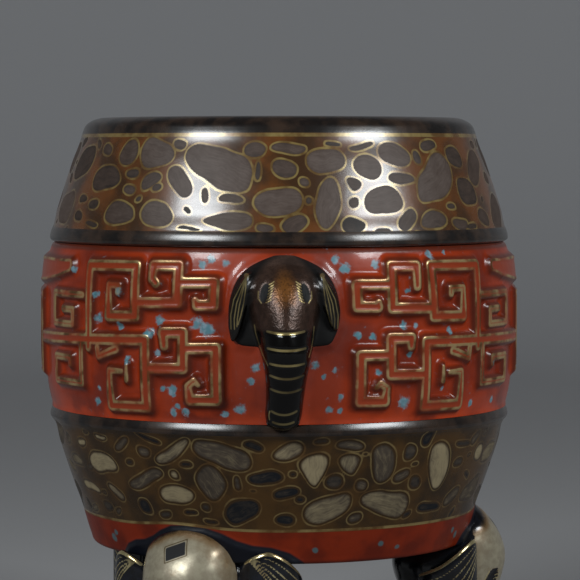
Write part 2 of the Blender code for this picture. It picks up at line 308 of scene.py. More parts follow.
def add_copies(
    mesh: bpy.types.Mesh, material: bpy.types.Material, bearings: Dict[str, float]
) -> List[bpy.types.Object]:
    """Places a mesh and its copies.

    Args:
        mesh: The mesh, facing -Y.
        material: Its finish.
        bearings: Where each piece faces, by its name.

    Returns:
        The pieces.
    """
    return [
        add_piece(name, mesh.copy() if k else mesh, material, bearing)
        for k, (name, bearing) in enumerate(bearings.items())
    ]


class Value:
    """A number that varies over a surface. Operators on it add Math nodes."""

    def __init__(self, graph: "Graph", socket: bpy.types.NodeSocket) -> None:
        """Wraps a socket of a graph."""
        self.graph = graph
        self.socket = socket

    def _math(self, operation: str, *others: "Number", clamp: bool = False) -> "Value":
        """Adds a Math node with this value first."""
        inputs = {k: other for k, other in enumerate((self, *others))}
        node = self.graph.node("ShaderNodeMath", {"operation": operation, "use_clamp": clamp}, inputs)
        return Value(self.graph, node.outputs[0])

    def __add__(self, other: "Number") -> "Value":
        """This value plus another."""
        return self._math("ADD", other)

    __radd__ = __add__

    def __mul__(self, other: "Number") -> "Value":
        """This value times another."""
        return self._math("MULTIPLY", other)

    __rmul__ = __mul__

    def __sub__(self, other: "Number") -> "Value":
        """This value minus another."""
        return self._math("SUBTRACT", other)

    def __rsub__(self, other: float) -> "Value":
        """A number minus this value."""
        return self._math("MULTIPLY_ADD", -1.0, other)

    def __truediv__(self, other: "Number") -> "Value":
        """This value over another."""
        return self._math("DIVIDE", other)

    def __abs__(self) -> "Value":
        """This value without its sign."""
        return self._math("ABSOLUTE")

    def most(self, other: "Number") -> "Value":
        """The larger of two values."""
        return self._math("MAXIMUM", other)

    def ease(self, low: float, high: float) -> "Value":
        """Eases from 0 at low to 1 at high; low may be above high.

        Args:
            low: Where the result is 0.
            high: Where it is 1.

        Returns:
            The eased value.
        """
        settings = {"interpolation_type": "SMOOTHSTEP"}
        inputs = {"Value": self, "From Min": low, "From Max": high, "To Min": 0.0, "To Max": 1.0}
        return Value(self.graph, self.graph.node("ShaderNodeMapRange", settings, inputs).outputs["Result"])

    def stripe(self, centre: float, half_width: float, softness: float) -> "Value":
        """1 on a stripe round a centre, and 0 off it."""
        return abs(self - centre).ease(half_width + softness, half_width - softness)


Number = Union[Value, float]
Paint = Union[Value, Colour]


class Graph:
    """A material's node tree, built up from expressions."""

    def __init__(self, name: str) -> None:
        """Starts a material with one Principled BSDF.

        Args:
            name: The material's name.
        """
        self.material = bpy.data.materials.new(name)
        self.material.use_nodes = True
        self.tree = self.material.node_tree
        self.shader = self.tree.nodes["Principled BSDF"]

    def node(
        self, kind: str, settings: Optional[Dict] = None, inputs: Optional[Dict] = None
    ) -> bpy.types.Node:
        """Adds a node.

        Args:
            kind: The node's type.
            settings: Attributes, set first; "stops" are a ramp's positions and colours.
            inputs: Values or links by socket name or number.

        Returns:
            The node.
        """
        node = self.tree.nodes.new(kind)
        for key, setting in (settings or {}).items():
            if key == "stops":
                self._set_stops(node.color_ramp, setting)
            else:
                setattr(node, key, setting)
        for key, entry in (inputs or {}).items():
            self.feed(node.inputs[key], entry)
        return node

    def feed(self, socket: bpy.types.NodeSocket, entry: Union[Number, Paint]) -> None:
        """Links a value to a socket, or sets a constant on it.

        Args:
            socket: The socket.
            entry: The value or the constant.
        """
        if isinstance(entry, Value):
            self.tree.links.new(entry.socket, socket)
        elif socket.type == "RGBA":
            socket.default_value = (*entry, 1.0)
        else:
            socket.default_value = entry

    @staticmethod
    def _set_stops(ramp: bpy.types.ColorRamp, stops: Sequence[Tuple[float, Colour]]) -> None:
        """Gives a ramp its stops.

        Args:
            ramp: The ramp.
            stops: Positions and colours.
        """
        while len(ramp.elements) < len(stops):
            ramp.elements.new(1.0)
        for element, (position, colour) in zip(ramp.elements, stops):
            element.position = position
            element.color = (*colour, 1.0)

    def attribute(self, name: str) -> Value:
        """A named value stored at the mesh's points."""
        return Value(self, self.node("ShaderNodeAttribute", {"attribute_name": name}).outputs["Fac"])

    def place(self) -> Value:
        """The place on the piece in millimetres.

        Returns:
            The place, as a vector.
        """
        spot = Value(self, self.node("ShaderNodeTexCoord").outputs["Object"])
        per_millimetre = (1 / MM, 1 / MM, 1 / MM)
        node = self.node("ShaderNodeVectorMath", {"operation": "MULTIPLY"}, {0: spot, 1: per_millimetre})
        return Value(self, node.outputs[0])

    def noise(
        self, size: float, detail: float = 3.0, rough: float = 0.5, place: Optional[Value] = None
    ) -> Value:
        """Cloudy noise from 0 to 1.

        Args:
            size: The clouds' size in millimetres.
            detail: How many finer layers it has.
            rough: How strong those are.
            place: Where it is read, the place on the piece unless it is given.

        Returns:
            The noise.
        """
        spot = self.place() if place is None else place
        inputs = {"Vector": spot, "Scale": 1.0 / size, "Detail": detail, "Roughness": rough}
        return Value(self, self.node("ShaderNodeTexNoise", {"noise_dimensions": "3D"}, inputs).outputs["Fac"])

    def mix(self, share: Number, first: Paint, second: Paint) -> Value:
        """Mixes two colours.

        Args:
            share: How much of the second colour shows, from 0 to 1.
            first: The first colour.
            second: The second colour.

        Returns:
            The mixed colour.
        """
        settings = {"data_type": "RGBA", "blend_type": "MIX", "clamp_factor": True}
        # A Mix node has a set of sockets for each type of data: 6, 7 and output 2 are those for colours.
        node = self.node("ShaderNodeMix", settings, {0: share, 6: first, 7: second})
        return Value(self, node.outputs[2])

    def ramp(self, value: Value, stops: Sequence[Tuple[float, Colour]]) -> Value:
        """Turns a value into a colour by a ramp's stops."""
        return Value(self, self.node("ShaderNodeValToRGB", {"stops": stops}, {"Fac": value}).outputs["Color"])

    def bump(self, height: Value, depth: float) -> Value:
        """A normal from a height.

        Args:
            height: The height, from 0 to 1.
            depth: What 1 stands for, in millimetres.

        Returns:
            The normal.
        """
        node = self.node("ShaderNodeBump", None, {"Height": height, "Distance": depth * MM, "Strength": 1.0})
        return Value(self, node.outputs["Normal"])

    def finish(self, **sockets: Union[Number, Paint]) -> bpy.types.Material:
        """Feeds the Principled BSDF and returns the material.

        Args:
            sockets: Values by socket name, with _ for a space.

        Returns:
            The material.
        """
        for name, entry in sockets.items():
            self.feed(self.shader.inputs[name.replace("_", " ").title().replace("Ior", "IOR")], entry)
        return self.material


@dataclass(frozen=True)
class Gold:
    """Gold lines painted over the glaze."""

    colour: Colour = (0.43, 0.31, 0.125)
    worn: Colour = (0.20, 0.105, 0.035)
    metallic: float = 0.6

    def paint(self, graph: Graph) -> Value:
        """The gold's colour, thinner in places."""
        return graph.mix(graph.noise(6.0, 3.0).ease(0.36, 0.60), self.worn, self.colour)


@dataclass(frozen=True)
class CoralGlaze:
    """The belly's red glaze with gold lines and turquoise specks, darkened by thin glaze and by painted
    shade.
    """

    red: Colour = (0.37, 0.037, 0.006)
    deep_red: Colour = (0.20, 0.020, 0.005)
    vivid: Colour = (0.49, 0.050, 0.008)
    thin_glaze_and_shade: Colour = (0.10, 0.017, 0.006)
    bar_top_highlight: Colour = (0.31, 0.042, 0.012)
    speck: Colour = (0.085, 0.33, 0.40)
    speck_pale: Colour = (0.25, 0.47, 0.56)
    gold: Gold = Gold((0.56, 0.42, 0.20), (0.15, 0.08, 0.028))
    line_depth: float = 1.25
    line_half_width: float = 0.38
    line_softness: float = 0.24
    line_wander: float = 0.24
    vivid_downs: Point = (45.0, 50.0)
    roughness: float = 0.42
    bar_roughness: float = 0.29
    bar_coat_share: float = 0.25
    pitting: float = 0.06
    coat: float = 0.5
    coat_roughness: float = 0.10
    coat_ior: float = 1.5
    ior: float = 1.39

    def material(self) -> bpy.types.Material:
        """Builds the glaze for a sheet with scroll and speck values.

        Returns:
            The material.
        """
        graph = Graph("coral_glaze")
        depth = graph.attribute("scroll_depth") + (graph.noise(2.0, 2.0) - 0.5) * self.line_wander
        down = graph.attribute("down")
        ground = graph.mix(graph.noise(16.0, 4.0).ease(0.34, 0.62), self.deep_red, self.red)
        glow = down.ease(*self.vivid_downs) * graph.noise(9.0, 3.0).ease(0.35, 0.6)
        ground = graph.mix(glow, ground, self.vivid)
        slope = depth.ease(-0.7, 0.4) * depth.ease(1.3, 0.7)
        # Painted highlight: the bars' tops are painted paler, standing in for their soft sheen.
        colour = graph.mix(depth.ease(0.7, 1.25), ground, self.bar_top_highlight)
        # Painted shade, partly thin glaze: the bars' slopes and a strip just under the upper ridge are
        # darkened.
        colour = graph.mix((slope * 0.85).most(down.ease(2.2, 1.2) * 0.85), colour, self.thin_glaze_and_shade)
        speck = (graph.attribute("speck") + (graph.noise(1.5, 3.0, 0.6) - 0.5) * 1.7).ease(0.22, 0.82)
        tint = graph.mix(graph.noise(1.8, 2.0).ease(0.42, 0.66), self.speck, self.speck_pale)
        colour = graph.mix(speck * 0.8, colour, tint)
        present = graph.noise(8.0, 3.0).ease(0.32, 0.58) * 0.75 + 0.18
        line = depth.stripe(self.line_depth, self.line_half_width, self.line_softness) * present
        colour = graph.mix(line, colour, self.gold.paint(graph))
        beside = depth.ease(-3.6, -1.4)
        rough = beside * (self.bar_roughness - self.roughness) + self.roughness
        coat = (1 - line) * (beside * (self.bar_coat_share - 1.0) + 1.0) * self.coat
        normal = graph.bump(graph.noise(2.6, 2.0), self.pitting)
        return graph.finish(
            base_color=colour, roughness=rough, metallic=line * self.gold.metallic, normal=normal,
            coat_weight=coat, coat_roughness=self.coat_roughness, coat_ior=self.coat_ior, ior=self.ior,
        )


@dataclass(frozen=True)
class PebbleGlaze:
    """A band of matt painted pebbles, outlined in gold on a glossy brown ground."""

    name: str
    ground: Colour
    ground_dark: Colour
    stone_dark: Colour
    stone: Colour
    stone_light: Colour
    line_depth: float
    line_half_width: float
    line_strength: float
    core_depth: float
    core_softness: float
    coat: float
    gold: Gold = Gold()
    edge_half_width: float = 0.42
    line_softness: float = 0.15
    line_wander: float = 0.3
    bronze: Colour = (0.010, 0.0075, 0.0065)
    bronze_pale: Colour = (0.044, 0.026, 0.017)
    red: Colour = (0.23, 0.021, 0.003)
    red_dark: Colour = (0.14, 0.013, 0.003)
    collar: Colour = (0.005, 0.006, 0.011)
    speck: Colour = (0.05, 0.17, 0.19)
    grain_scale: Point = (0.16, 1.9)
    grain_drift: float = 5.0
    grain_spread: float = 40.0
    grain_strength: float = 0.55
    side_shading: float = 0.55
    roughness: float = 0.27
    matt: float = 0.52
    red_dulling: float = 0.15
    pitting: float = 0.05
    bronze_coat: float = 0.6
    coat_ior: float = 1.6
    ior: float = 1.42
    coat_roughness: float = 0.21

    def _stone(self, graph: Graph, depth: Value) -> Value:
        """The pebbles' colour, grained like old wood.

        Args:
            graph: The glaze's graph.
            depth: The depth inside the pebbles' edges.

        Returns:
            The colour.
        """
        tone = graph.attribute("pebble_tone")
        drift = (graph.noise(7.0, 2.0) - 0.5) * self.grain_drift
        along = graph.attribute("grain_along") * self.grain_scale[0]
        across = (graph.attribute("grain_across") + drift) * self.grain_scale[1]
        inputs = {0: along, 1: across, 2: tone * self.grain_spread}
        fibre = Value(graph, graph.node("ShaderNodeCombineXYZ", None, inputs).outputs[0])
        grain = graph.noise(1.0, 3.0, 0.6, fibre) - 0.5
        cloud = graph.noise(3.6, 4.0, 0.6) - 0.5
        shade = tone + cloud * 0.55 + grain * self.grain_strength
        shade = shade - depth.ease(self.core_depth + 1.0, self.core_depth) * 0.12
        return graph.ramp(shade, [(0.10, self.stone_dark), (0.50, self.stone), (0.95, self.stone_light)])

    def material(self) -> bpy.types.Material:
        """Builds the glaze for a sheet with pebble values and masks.

        Returns:
            The material.
        """
        graph = Graph(self.name)
        depth = graph.attribute("pebble_depth") + (graph.noise(2.6, 2.0) - 0.5) * self.line_wander
        ground = graph.mix(graph.noise(10.0, 4.0).ease(0.36, 0.64), self.ground_dark, self.ground)
        inside = depth.ease(self.core_depth - self.core_softness, self.core_depth + self.core_softness)
        colour = graph.mix(depth.ease(self.line_depth, self.line_depth + 0.3) * 0.7, ground, self.ground_dark)
        colour = graph.mix(inside, colour, self._stone(graph, depth))
        wear_and_shade = graph.noise(7.0, 3.0).ease(0.28, 0.52) * 0.6 + 0.4
        # Painted shade: the gold lines are dimmed towards the band's sides, on top of their random wear.
        wear_and_shade = wear_and_shade * (1 - graph.attribute("side_shade") * self.side_shading)
        line = depth.stripe(self.line_depth, self.line_half_width, self.line_softness)
        edge = graph.attribute("edge_line").stripe(0.0, self.edge_half_width, self.line_softness)
        edge_line = edge * (wear_and_shade * 0.4 + 0.6)
        line = (line * wear_and_shade * self.line_strength).most(edge_line)
        colour = graph.mix(line, colour, self.gold.paint(graph))
        bronze = graph.attribute("bronze").ease(0.35, 0.65)
        smoke = graph.mix(graph.noise(6.0, 4.0).ease(0.35, 0.65), self.bronze, self.bronze_pale)
        colour = graph.mix(bronze, colour, smoke)
        red = graph.attribute("red").ease(0.35, 0.65)
        coral = graph.mix(graph.noise(9.0, 3.0).ease(0.35, 0.65), self.red_dark, self.red)
        speck = (graph.attribute("speck") + (graph.noise(2.0, 3.0) - 0.5) * 0.9).ease(0.30, 0.75) * 0.7
        coral = graph.mix(speck, coral, self.speck)
        # The collar is partly the dark glaze round a foot's head and partly painted shade above its ear.
        collar = graph.attribute("collar").ease(0.15, 0.85)
        coral = graph.mix(collar, coral, self.collar)
        colour = graph.mix(red * (1 - edge_line), colour, coral)
        line = line * (1 - bronze)
        matt = inside * (1 - bronze) * (1 - red)
        rough = matt * (self.matt - self.roughness) + self.roughness + red * (1 - bronze) * self.red_dulling
        normal = graph.bump(graph.noise(2.8, 2.0), self.pitting)
        coat = (1 - matt) * (1 - red) * (1 - bronze) * self.coat + bronze * self.bronze_coat
        return graph.finish(
            base_color=colour, roughness=rough, metallic=line * self.gold.metallic, normal=normal,
            coat_weight=coat, coat_roughness=self.coat_roughness, coat_ior=self.coat_ior, ior=self.ior,
        )


@dataclass(frozen=True)
class HandleGlaze:
    """A handle's bronze-brown glaze, golden on the brow, with gold rings and lines."""

    dark: Colour = (0.0035, 0.003, 0.0028)
    brown: Colour = (0.075, 0.042, 0.030)
    shade: Colour = (0.04125, 0.0231, 0.0165)
    freckle: Colour = (0.0225, 0.0126, 0.009)
    ear: Colour = (0.009, 0.008, 0.007)
    brow: Colour = (0.26, 0.10, 0.022)
    pit: Colour = (0.003, 0.003, 0.003)
    gold: Gold = Gold((0.60, 0.47, 0.20), (0.34, 0.25, 0.10))
    gloss: float = 0.15
    sheen: float = 0.31
    line_dulling: float = 0.12
    flank_dulling: float = 0.5
    socket_dulling: float = 0.35
    leaf_dulling: float = 0.1
    line_metal: float = 0.8
    face_metal: float = 0.4
    pitting: float = 0.10
    ior: float = 1.42

    def material(self) -> bpy.types.Material:
        """Builds the glaze for a head with line, brow and face values.

        Returns:
            The material.
        """
        graph = Graph("handle_glaze")
        cloud = graph.noise(4.0, 4.0, 0.6)
        dots = graph.noise(0.55, 2.0, 0.5)
        face = graph.attribute("face")
        leaf = graph.attribute("leaf").ease(0.2, 0.8)
        socket = graph.attribute("socket").ease(0.3, 0.8)
        skin = graph.mix(cloud.ease(0.35, 0.65), self.shade, self.brown)
        glow = (graph.attribute("brow") + (cloud - 0.5) * 0.8).ease(-0.1, 0.85) * 0.9
        skin = graph.mix(glow, skin, self.brow)
        skin = graph.mix(dots.ease(0.52, 0.66) * 0.5, skin, self.freckle)
        colour = graph.mix(face, graph.mix(leaf, self.dark, self.ear), skin)
        colour = graph.mix(socket, colour, self.pit)
        bold = graph.attribute("bold_line").ease(0.44, 0.20) * graph.attribute("painted_ring_shade")
        present = graph.noise(5.0, 2.0).ease(0.3, 0.6) * 0.3 + 0.15 + face * 0.35
        line = bold.most(graph.attribute("fine_line").ease(0.24, 0.06) * present)
        colour = graph.mix(line, colour, self.gold.paint(graph))
        flank = graph.attribute("flank") * (1 - leaf)
        rough = face * (self.sheen - self.gloss) + self.gloss + line * self.line_dulling
        rough = rough + flank * self.flank_dulling + socket * self.socket_dulling + leaf * self.leaf_dulling
        metal = (line * self.line_metal).most(face * (1 - socket) * self.face_metal)
        normal = graph.bump((dots + graph.noise(1.3, 2.0)) * face, self.pitting)
        return graph.finish(
            base_color=colour, roughness=rough, metallic=metal, normal=normal, coat_weight=0.0, ior=self.ior,
        )


@dataclass(frozen=True)
class FootGlaze:
    """A foot's silvery cream brow on a blue-black head with gold lines."""

    dark: Colour = (0.006, 0.006, 0.007)
    collar: Colour = (0.009, 0.011, 0.018)
    cream: Colour = (0.465, 0.415, 0.295)
    grey: Colour = (0.36, 0.31, 0.22)
    amber_and_shade: Colour = (0.24, 0.13, 0.045)
    pit: Colour = (0.005, 0.005, 0.006)
    gold: Gold = Gold((0.80, 0.68, 0.36), (0.50, 0.38, 0.18))
    badge_edge: Colour = (0.10, 0.065, 0.02)
    gloss: float = 0.16
    sheen: float = 0.33
    line_dulling: float = 0.06
    inlay_dulling: float = 0.45
    line_metal: float = 0.85
    cream_metal: float = 0.35
    pitting: float = 0.06
    ior: float = 1.55

    def material(self) -> bpy.types.Material:
        """Builds the glaze for a head with cream, line and badge values.

        Returns:
            The material.
        """
        graph = Graph("foot_glaze")
        cloud = graph.noise(8.0, 4.0, 0.6)
        fine_cloud = graph.noise(2.4, 4.0, 0.6)
        level = graph.attribute("cream") + (cloud - 0.5) * 0.35 + (fine_cloud - 0.5) * 0.12
        cream = level.ease(-0.02, 0.22)
        skin = graph.mix(fine_cloud.ease(0.34, 0.68), self.grey, self.cream)
        skin = graph.mix(cloud.ease(0.56, 0.74) * 0.4, skin, self.amber_and_shade)
        # Painted shade: the cream brow darkens to amber towards its edges.
        skin = graph.mix(level.ease(0.44, 0.10) * 0.9, skin, self.amber_and_shade)
        base = graph.mix(fine_cloud.ease(0.4, 0.7), self.dark, self.collar)
        colour = graph.mix(cream, base, skin)
        badge = graph.attribute("badge")
        inlay = badge.ease(0.15, -0.15)
        colour = graph.mix(inlay, colour, self.pit)
        bold = graph.attribute("bold_line").ease(0.85, 0.60)
        line = bold.most(graph.attribute("fine_line").ease(0.30, 0.12) * 0.75)
        colour = graph.mix(line, colour, self.gold.paint(graph))
        colour = graph.mix(badge.stripe(0.42, 0.16, 0.12) * 0.9, colour, self.badge_edge)
        metal = (line * self.line_metal).most(cream * (1 - inlay) * self.cream_metal)
        rough = cream * (self.sheen - self.gloss) + self.gloss
        rough = rough + line * self.line_dulling + inlay * self.inlay_dulling
        normal = graph.bump(fine_cloud * cream, self.pitting)
        return graph.finish(
            base_color=colour, roughness=rough, metallic=metal, normal=normal, coat_weight=0.0, ior=self.ior,
        )


@dataclass(frozen=True)
class StageFinish:
    """The plain floor and backdrop, with painted shade: darker near the censer and in front of it."""

    near: Colour = (0.42, 0.417, 0.42)
    far: Colour = (0.795, 0.795, 0.805)
    near_radius: float = 300.0
    far_radius: float = 2300.0
    black: Colour = (0.0, 0.0, 0.0)
    shade: float = 0.45
    roughness: float = 0.9

    def material(self) -> bpy.types.Material:
        """Builds the floor's finish, with its painted shade.

        Returns:
            The material.
        """
        graph = Graph("studio_paper")
        place = graph.place()
        length = graph.node("ShaderNodeVectorMath", {"operation": "LENGTH"}, {0: place})
        radius = Value(graph, length.outputs["Value"])
        colour = graph.mix(radius.ease(self.near_radius, self.far_radius), self.near, self.far)
        split = graph.node("ShaderNodeSeparateXYZ", None, {0: place})
        behind = (Value(graph, split.outputs["Y"]) / (radius + 20.0)).ease(0.1, 0.8)
        # Painted shade: the paper darkens towards the front, as it does near the censer.
        colour = graph.mix(behind, graph.mix(self.shade, colour, self.black), colour)
        return graph.finish(base_color=colour, roughness=self.roughness, specular_ior_level=0.0)


class Tone(Enum):
    """How pale a pebble is painted."""

    DARK = 0.16
    DIM = 0.36
    PLAIN = 0.52
    LIGHT = 0.68
    CREAM = 0.90


@dataclass(frozen=True)
class Pebble:
    """One painted pebble, an oval that may narrow towards one end.

    It lies round the band from the front and down from the band's top, with a half length and a half
    width, all in millimetres. Its tilt is in degrees clockwise. It narrows towards the end that its tilt
    points to where its taper is above 0, and towards the other end where it is below.
    """

    around: float
    down: float
    half_length: float
    half_width: float
    tilt: float = 0.0
    taper: float = 0.0
    tone: Tone = Tone.PLAIN


UPPER_PEBBLES = [Pebble(*row) for row in (
    (-53.2, 4.5, 4.4, 3.9), (-41.4, 5.3, 6.6, 4.6, 5, 0.3, Tone.LIGHT), (-33.9, 2.2, 2.9, 1.6, 10),
    (-20.0, 8.9, 11.8, 5.9, 22, -0.3, Tone.LIGHT), (-8.9, 4.2, 4.0, 2.3, 5),
    (-7.3, 9.9, 2.9, 1.0, 90, 0, Tone.DIM), (-49.7, 10.8, 2.8, 1.6, 0, 0, Tone.DIM),
    (-49.7, 15.5, 2.9, 1.7), (-41.4, 13.2, 3.9, 2.5, -15, 0.3), (-38.6, 15.3, 1.9, 1.3, -10, 0, Tone.DIM),
    (-31.6, 13.0, 5.6, 3.4, 55, 0, Tone.LIGHT), (-23.0, 17.1, 2.5, 1.6, 70), (-15.0, 18.5, 3.7, 1.6, 3),
    (-27.7, 21.7, 2.0, 1.2, 35, 0, Tone.DARK), (-15.7, 24.7, 7.1, 2.7, 5, -0.3, Tone.LIGHT),
    (-37.5, 23.0, 5.7, 3.6, 20, 0.25, Tone.LIGHT), (-51.4, 22.8, 6.4, 3.7),
    (-61.4, 12.5, 7.1, 3.9, 0, 0, Tone.DIM), (-44.7, 18.2, 1.3, 1.1, 0, 0, Tone.DIM),
    (-64.3, 20.0, 2.5, 1.8, 0, 0, Tone.DIM), (-5.0, 26.7, 2.9, 1.6),
    (-26.8, 27.1, 3.6, 0.9, 0, 0, Tone.DARK), (-71.4, 24.2, 2.5, 1.8, 0, 0, Tone.DIM),
    (-63.6, 26.0, 3.6, 1.1, 0, 0, Tone.DIM), (0.2, 9.8, 3.7, 3.0), (-1.6, 19.1, 7.7, 4.1, 0, 0, Tone.LIGHT),
    (1.6, 3.4, 5.6, 1.9), (12.9, 7.3, 6.9, 3.6, 3, 0, Tone.LIGHT), (15.2, 2.6, 3.0, 1.0, 5, 0, Tone.DIM),
    (25.2, 2.8, 4.7, 1.2, -8), (25.9, 8.9, 4.5, 4.1, 0, 0, Tone.LIGHT),
    (36.2, 5.7, 6.3, 3.7, 12, 0, Tone.LIGHT), (37.2, 12.5, 5.3, 1.9, 8),
    (45.0, 6.0, 1.9, 2.3, 0, 0, Tone.DIM), (6.0, 13.5, 2.0, 1.6), (20.4, 14.2, 2.6, 2.1, 45, -0.35),
    (20.0, 19.5, 2.1, 1.8), (12.5, 19.6, 8.1, 3.4, 104, 0, Tone.LIGHT),
    (29.8, 18.7, 6.8, 4.6, -15, 0, Tone.LIGHT), (3.0, 25.3, 3.6, 2.5, -25),
    (20.0, 25.7, 3.9, 2.6, 0, 0.3, Tone.DARK), (36.2, 24.6, 4.4, 2.6, -50), (27.9, 27.8, 2.6, 1.1),
    (46.6, 24.8, 5.5, 2.7), (50.0, 13.2, 10.0, 5.6, -35, -0.3, Tone.LIGHT),
    (54.8, 20.5, 2.1, 1.2, 0, 0, Tone.DIM), (51.5, 2.8, 3.9, 1.8, 0, 0, Tone.DIM),
    (62.9, 6.0, 5.0, 3.6, 0, 0, Tone.DIM), (65.0, 16.7, 5.0, 4.6, 0, 0, Tone.DIM), (57.2, 26.0, 3.6, 2.1),
    (62.9, 26.7, 3.2, 1.1, 0, 0, Tone.DIM), (39.9, 28.3, 1.4, 1.1, 0, 0, Tone.DIM),
    (7.5, 18.9, 1.1, 1.4, 0, 0, Tone.DIM),
)]

LOWER_PEBBLES = [Pebble(*row) for row in (
    (-59.2, 2.5, 3.2, 1.3, 0, 0, Tone.CREAM), (-69.9, 5.0, 2.9, 1.6, 0, 0, Tone.CREAM),
    (-60.7, 10.7, 7.5, 3.6, 0, 0, Tone.CREAM), (-77.1, 11.5, 4.3, 2.3, 0, 0, Tone.LIGHT),
    (-72.1, 19.3, 6.6, 2.1, 5, 0, Tone.CREAM), (-57.8, 19.7, 4.3, 1.8, 35, 0, Tone.LIGHT),
    (-49.6, 3.9, 3.7, 1.7, -25), (-42.1, 6.1, 2.5, 2.1), (-39.6, 1.5, 3.9, 1.3, 20, 0, Tone.DARK),
    (-32.4, 5.4, 7.1, 2.5, -30, 0, Tone.LIGHT), (-17.1, 5.7, 8.9, 4.1, 18),
    (-8.5, 3.2, 3.6, 1.6, 20, 0, Tone.DARK), (-28.2, 8.7, 2.1, 1.2, 0, 0, Tone.DARK),
    (-32.4, 12.2, 1.8, 1.9, 0, 0, Tone.CREAM), (-21.4, 14.3, 5.7, 4.6, 50), (-13.2, 14.3, 2.7, 1.4, 90),
    (-5.3, 12.3, 5.0, 2.4, 0, 0, Tone.DARK), (-43.5, 14.3, 8.0, 2.5, -18),
    (-33.2, 18.6, 6.1, 3.4, -5, 0, Tone.CREAM), (-45.7, 22.9, 2.7, 2.9, 0, 0, Tone.DARK),
    (-29.2, 24.0, 3.0, 1.2, 0, 0, Tone.DARK), (-12.8, 22.9, 6.1, 3.9, -20, 0, Tone.DARK),
    (-22.8, 26.1, 2.4, 1.1, 0, 0, Tone.DARK), (-23.5, 21.5, 1.8, 1.6, 0, 0, Tone.DIM),
    (-48.2, 9.3, 1.6, 1.2, 0, 0, Tone.DIM), (-38.9, 24.7, 2.5, 1.5, 0, 0, Tone.DIM),
    (-74.9, 26.1, 2.9, 1.5, 0, 0, Tone.LIGHT), (-9.2, 16.1, 1.0, 0.7, 0, 0, Tone.DIM),
    (1.5, 4.3, 5.0, 2.7, -35, 0, Tone.LIGHT), (8.6, 10.0, 5.4, 4.2, 80, 0.55, Tone.CREAM),
    (18.6, 2.9, 5.0, 2.0), (10.0, 1.8, 2.1, 1.1, 0, 0, Tone.DIM),
    (19.3, 8.9, 3.6, 3.2, 80, 0.5, Tone.LIGHT), (23.5, 5.4, 0.9, 0.7), (29.1, 8.7, 6.3, 4.1, 80),
    (37.5, 6.1, 2.7, 2.9, 0, 0, Tone.DIM), (14.9, 13.6, 2.8, 2.4, 0, 0, Tone.DIM), (22.7, 15.6, 2.4, 2.1),
    (36.5, 12.9, 3.3, 2.0, -10), (40.7, 10.0, 1.4, 0.9, 0, 0, Tone.DIM),
    (41.5, 15.7, 2.4, 2.4, 0, 0, Tone.DIM), (50.0, 10.7, 8.0, 4.6, 75, 0, Tone.CREAM),
    (13.2, 22.2, 8.2, 4.4, -25, 0, Tone.LIGHT), (32.2, 21.1, 9.1, 4.4, 12, -0.3, Tone.LIGHT),
    (22.9, 25.0, 2.6, 1.9), (5.4, 19.3, 1.8, 1.4, 0, 0, Tone.DARK), (0.7, 17.2, 4.6, 2.1, 0, 0, Tone.DARK),
    (2.2, 11.5, 1.4, 1.3, 0, 0, Tone.DARK), (0.7, 25.0, 3.2, 2.1, 0, 0, Tone.DARK),
    (50.7, 24.0, 5.4, 2.0, 0, 0, Tone.DARK), (41.5, 25.0, 2.1, 1.4, 0, 0, Tone.DIM),
    (70.7, 8.6, 3.2, 3.0, 0, 0, Tone.CREAM), (59.3, 5.0, 4.3, 1.4, 0, 0, Tone.DIM),
    (59.3, 11.1, 2.9, 1.8, 0, 0, Tone.DIM), (43.2, 1.8, 2.5, 2.9, 0, 0, Tone.DARK),
)]


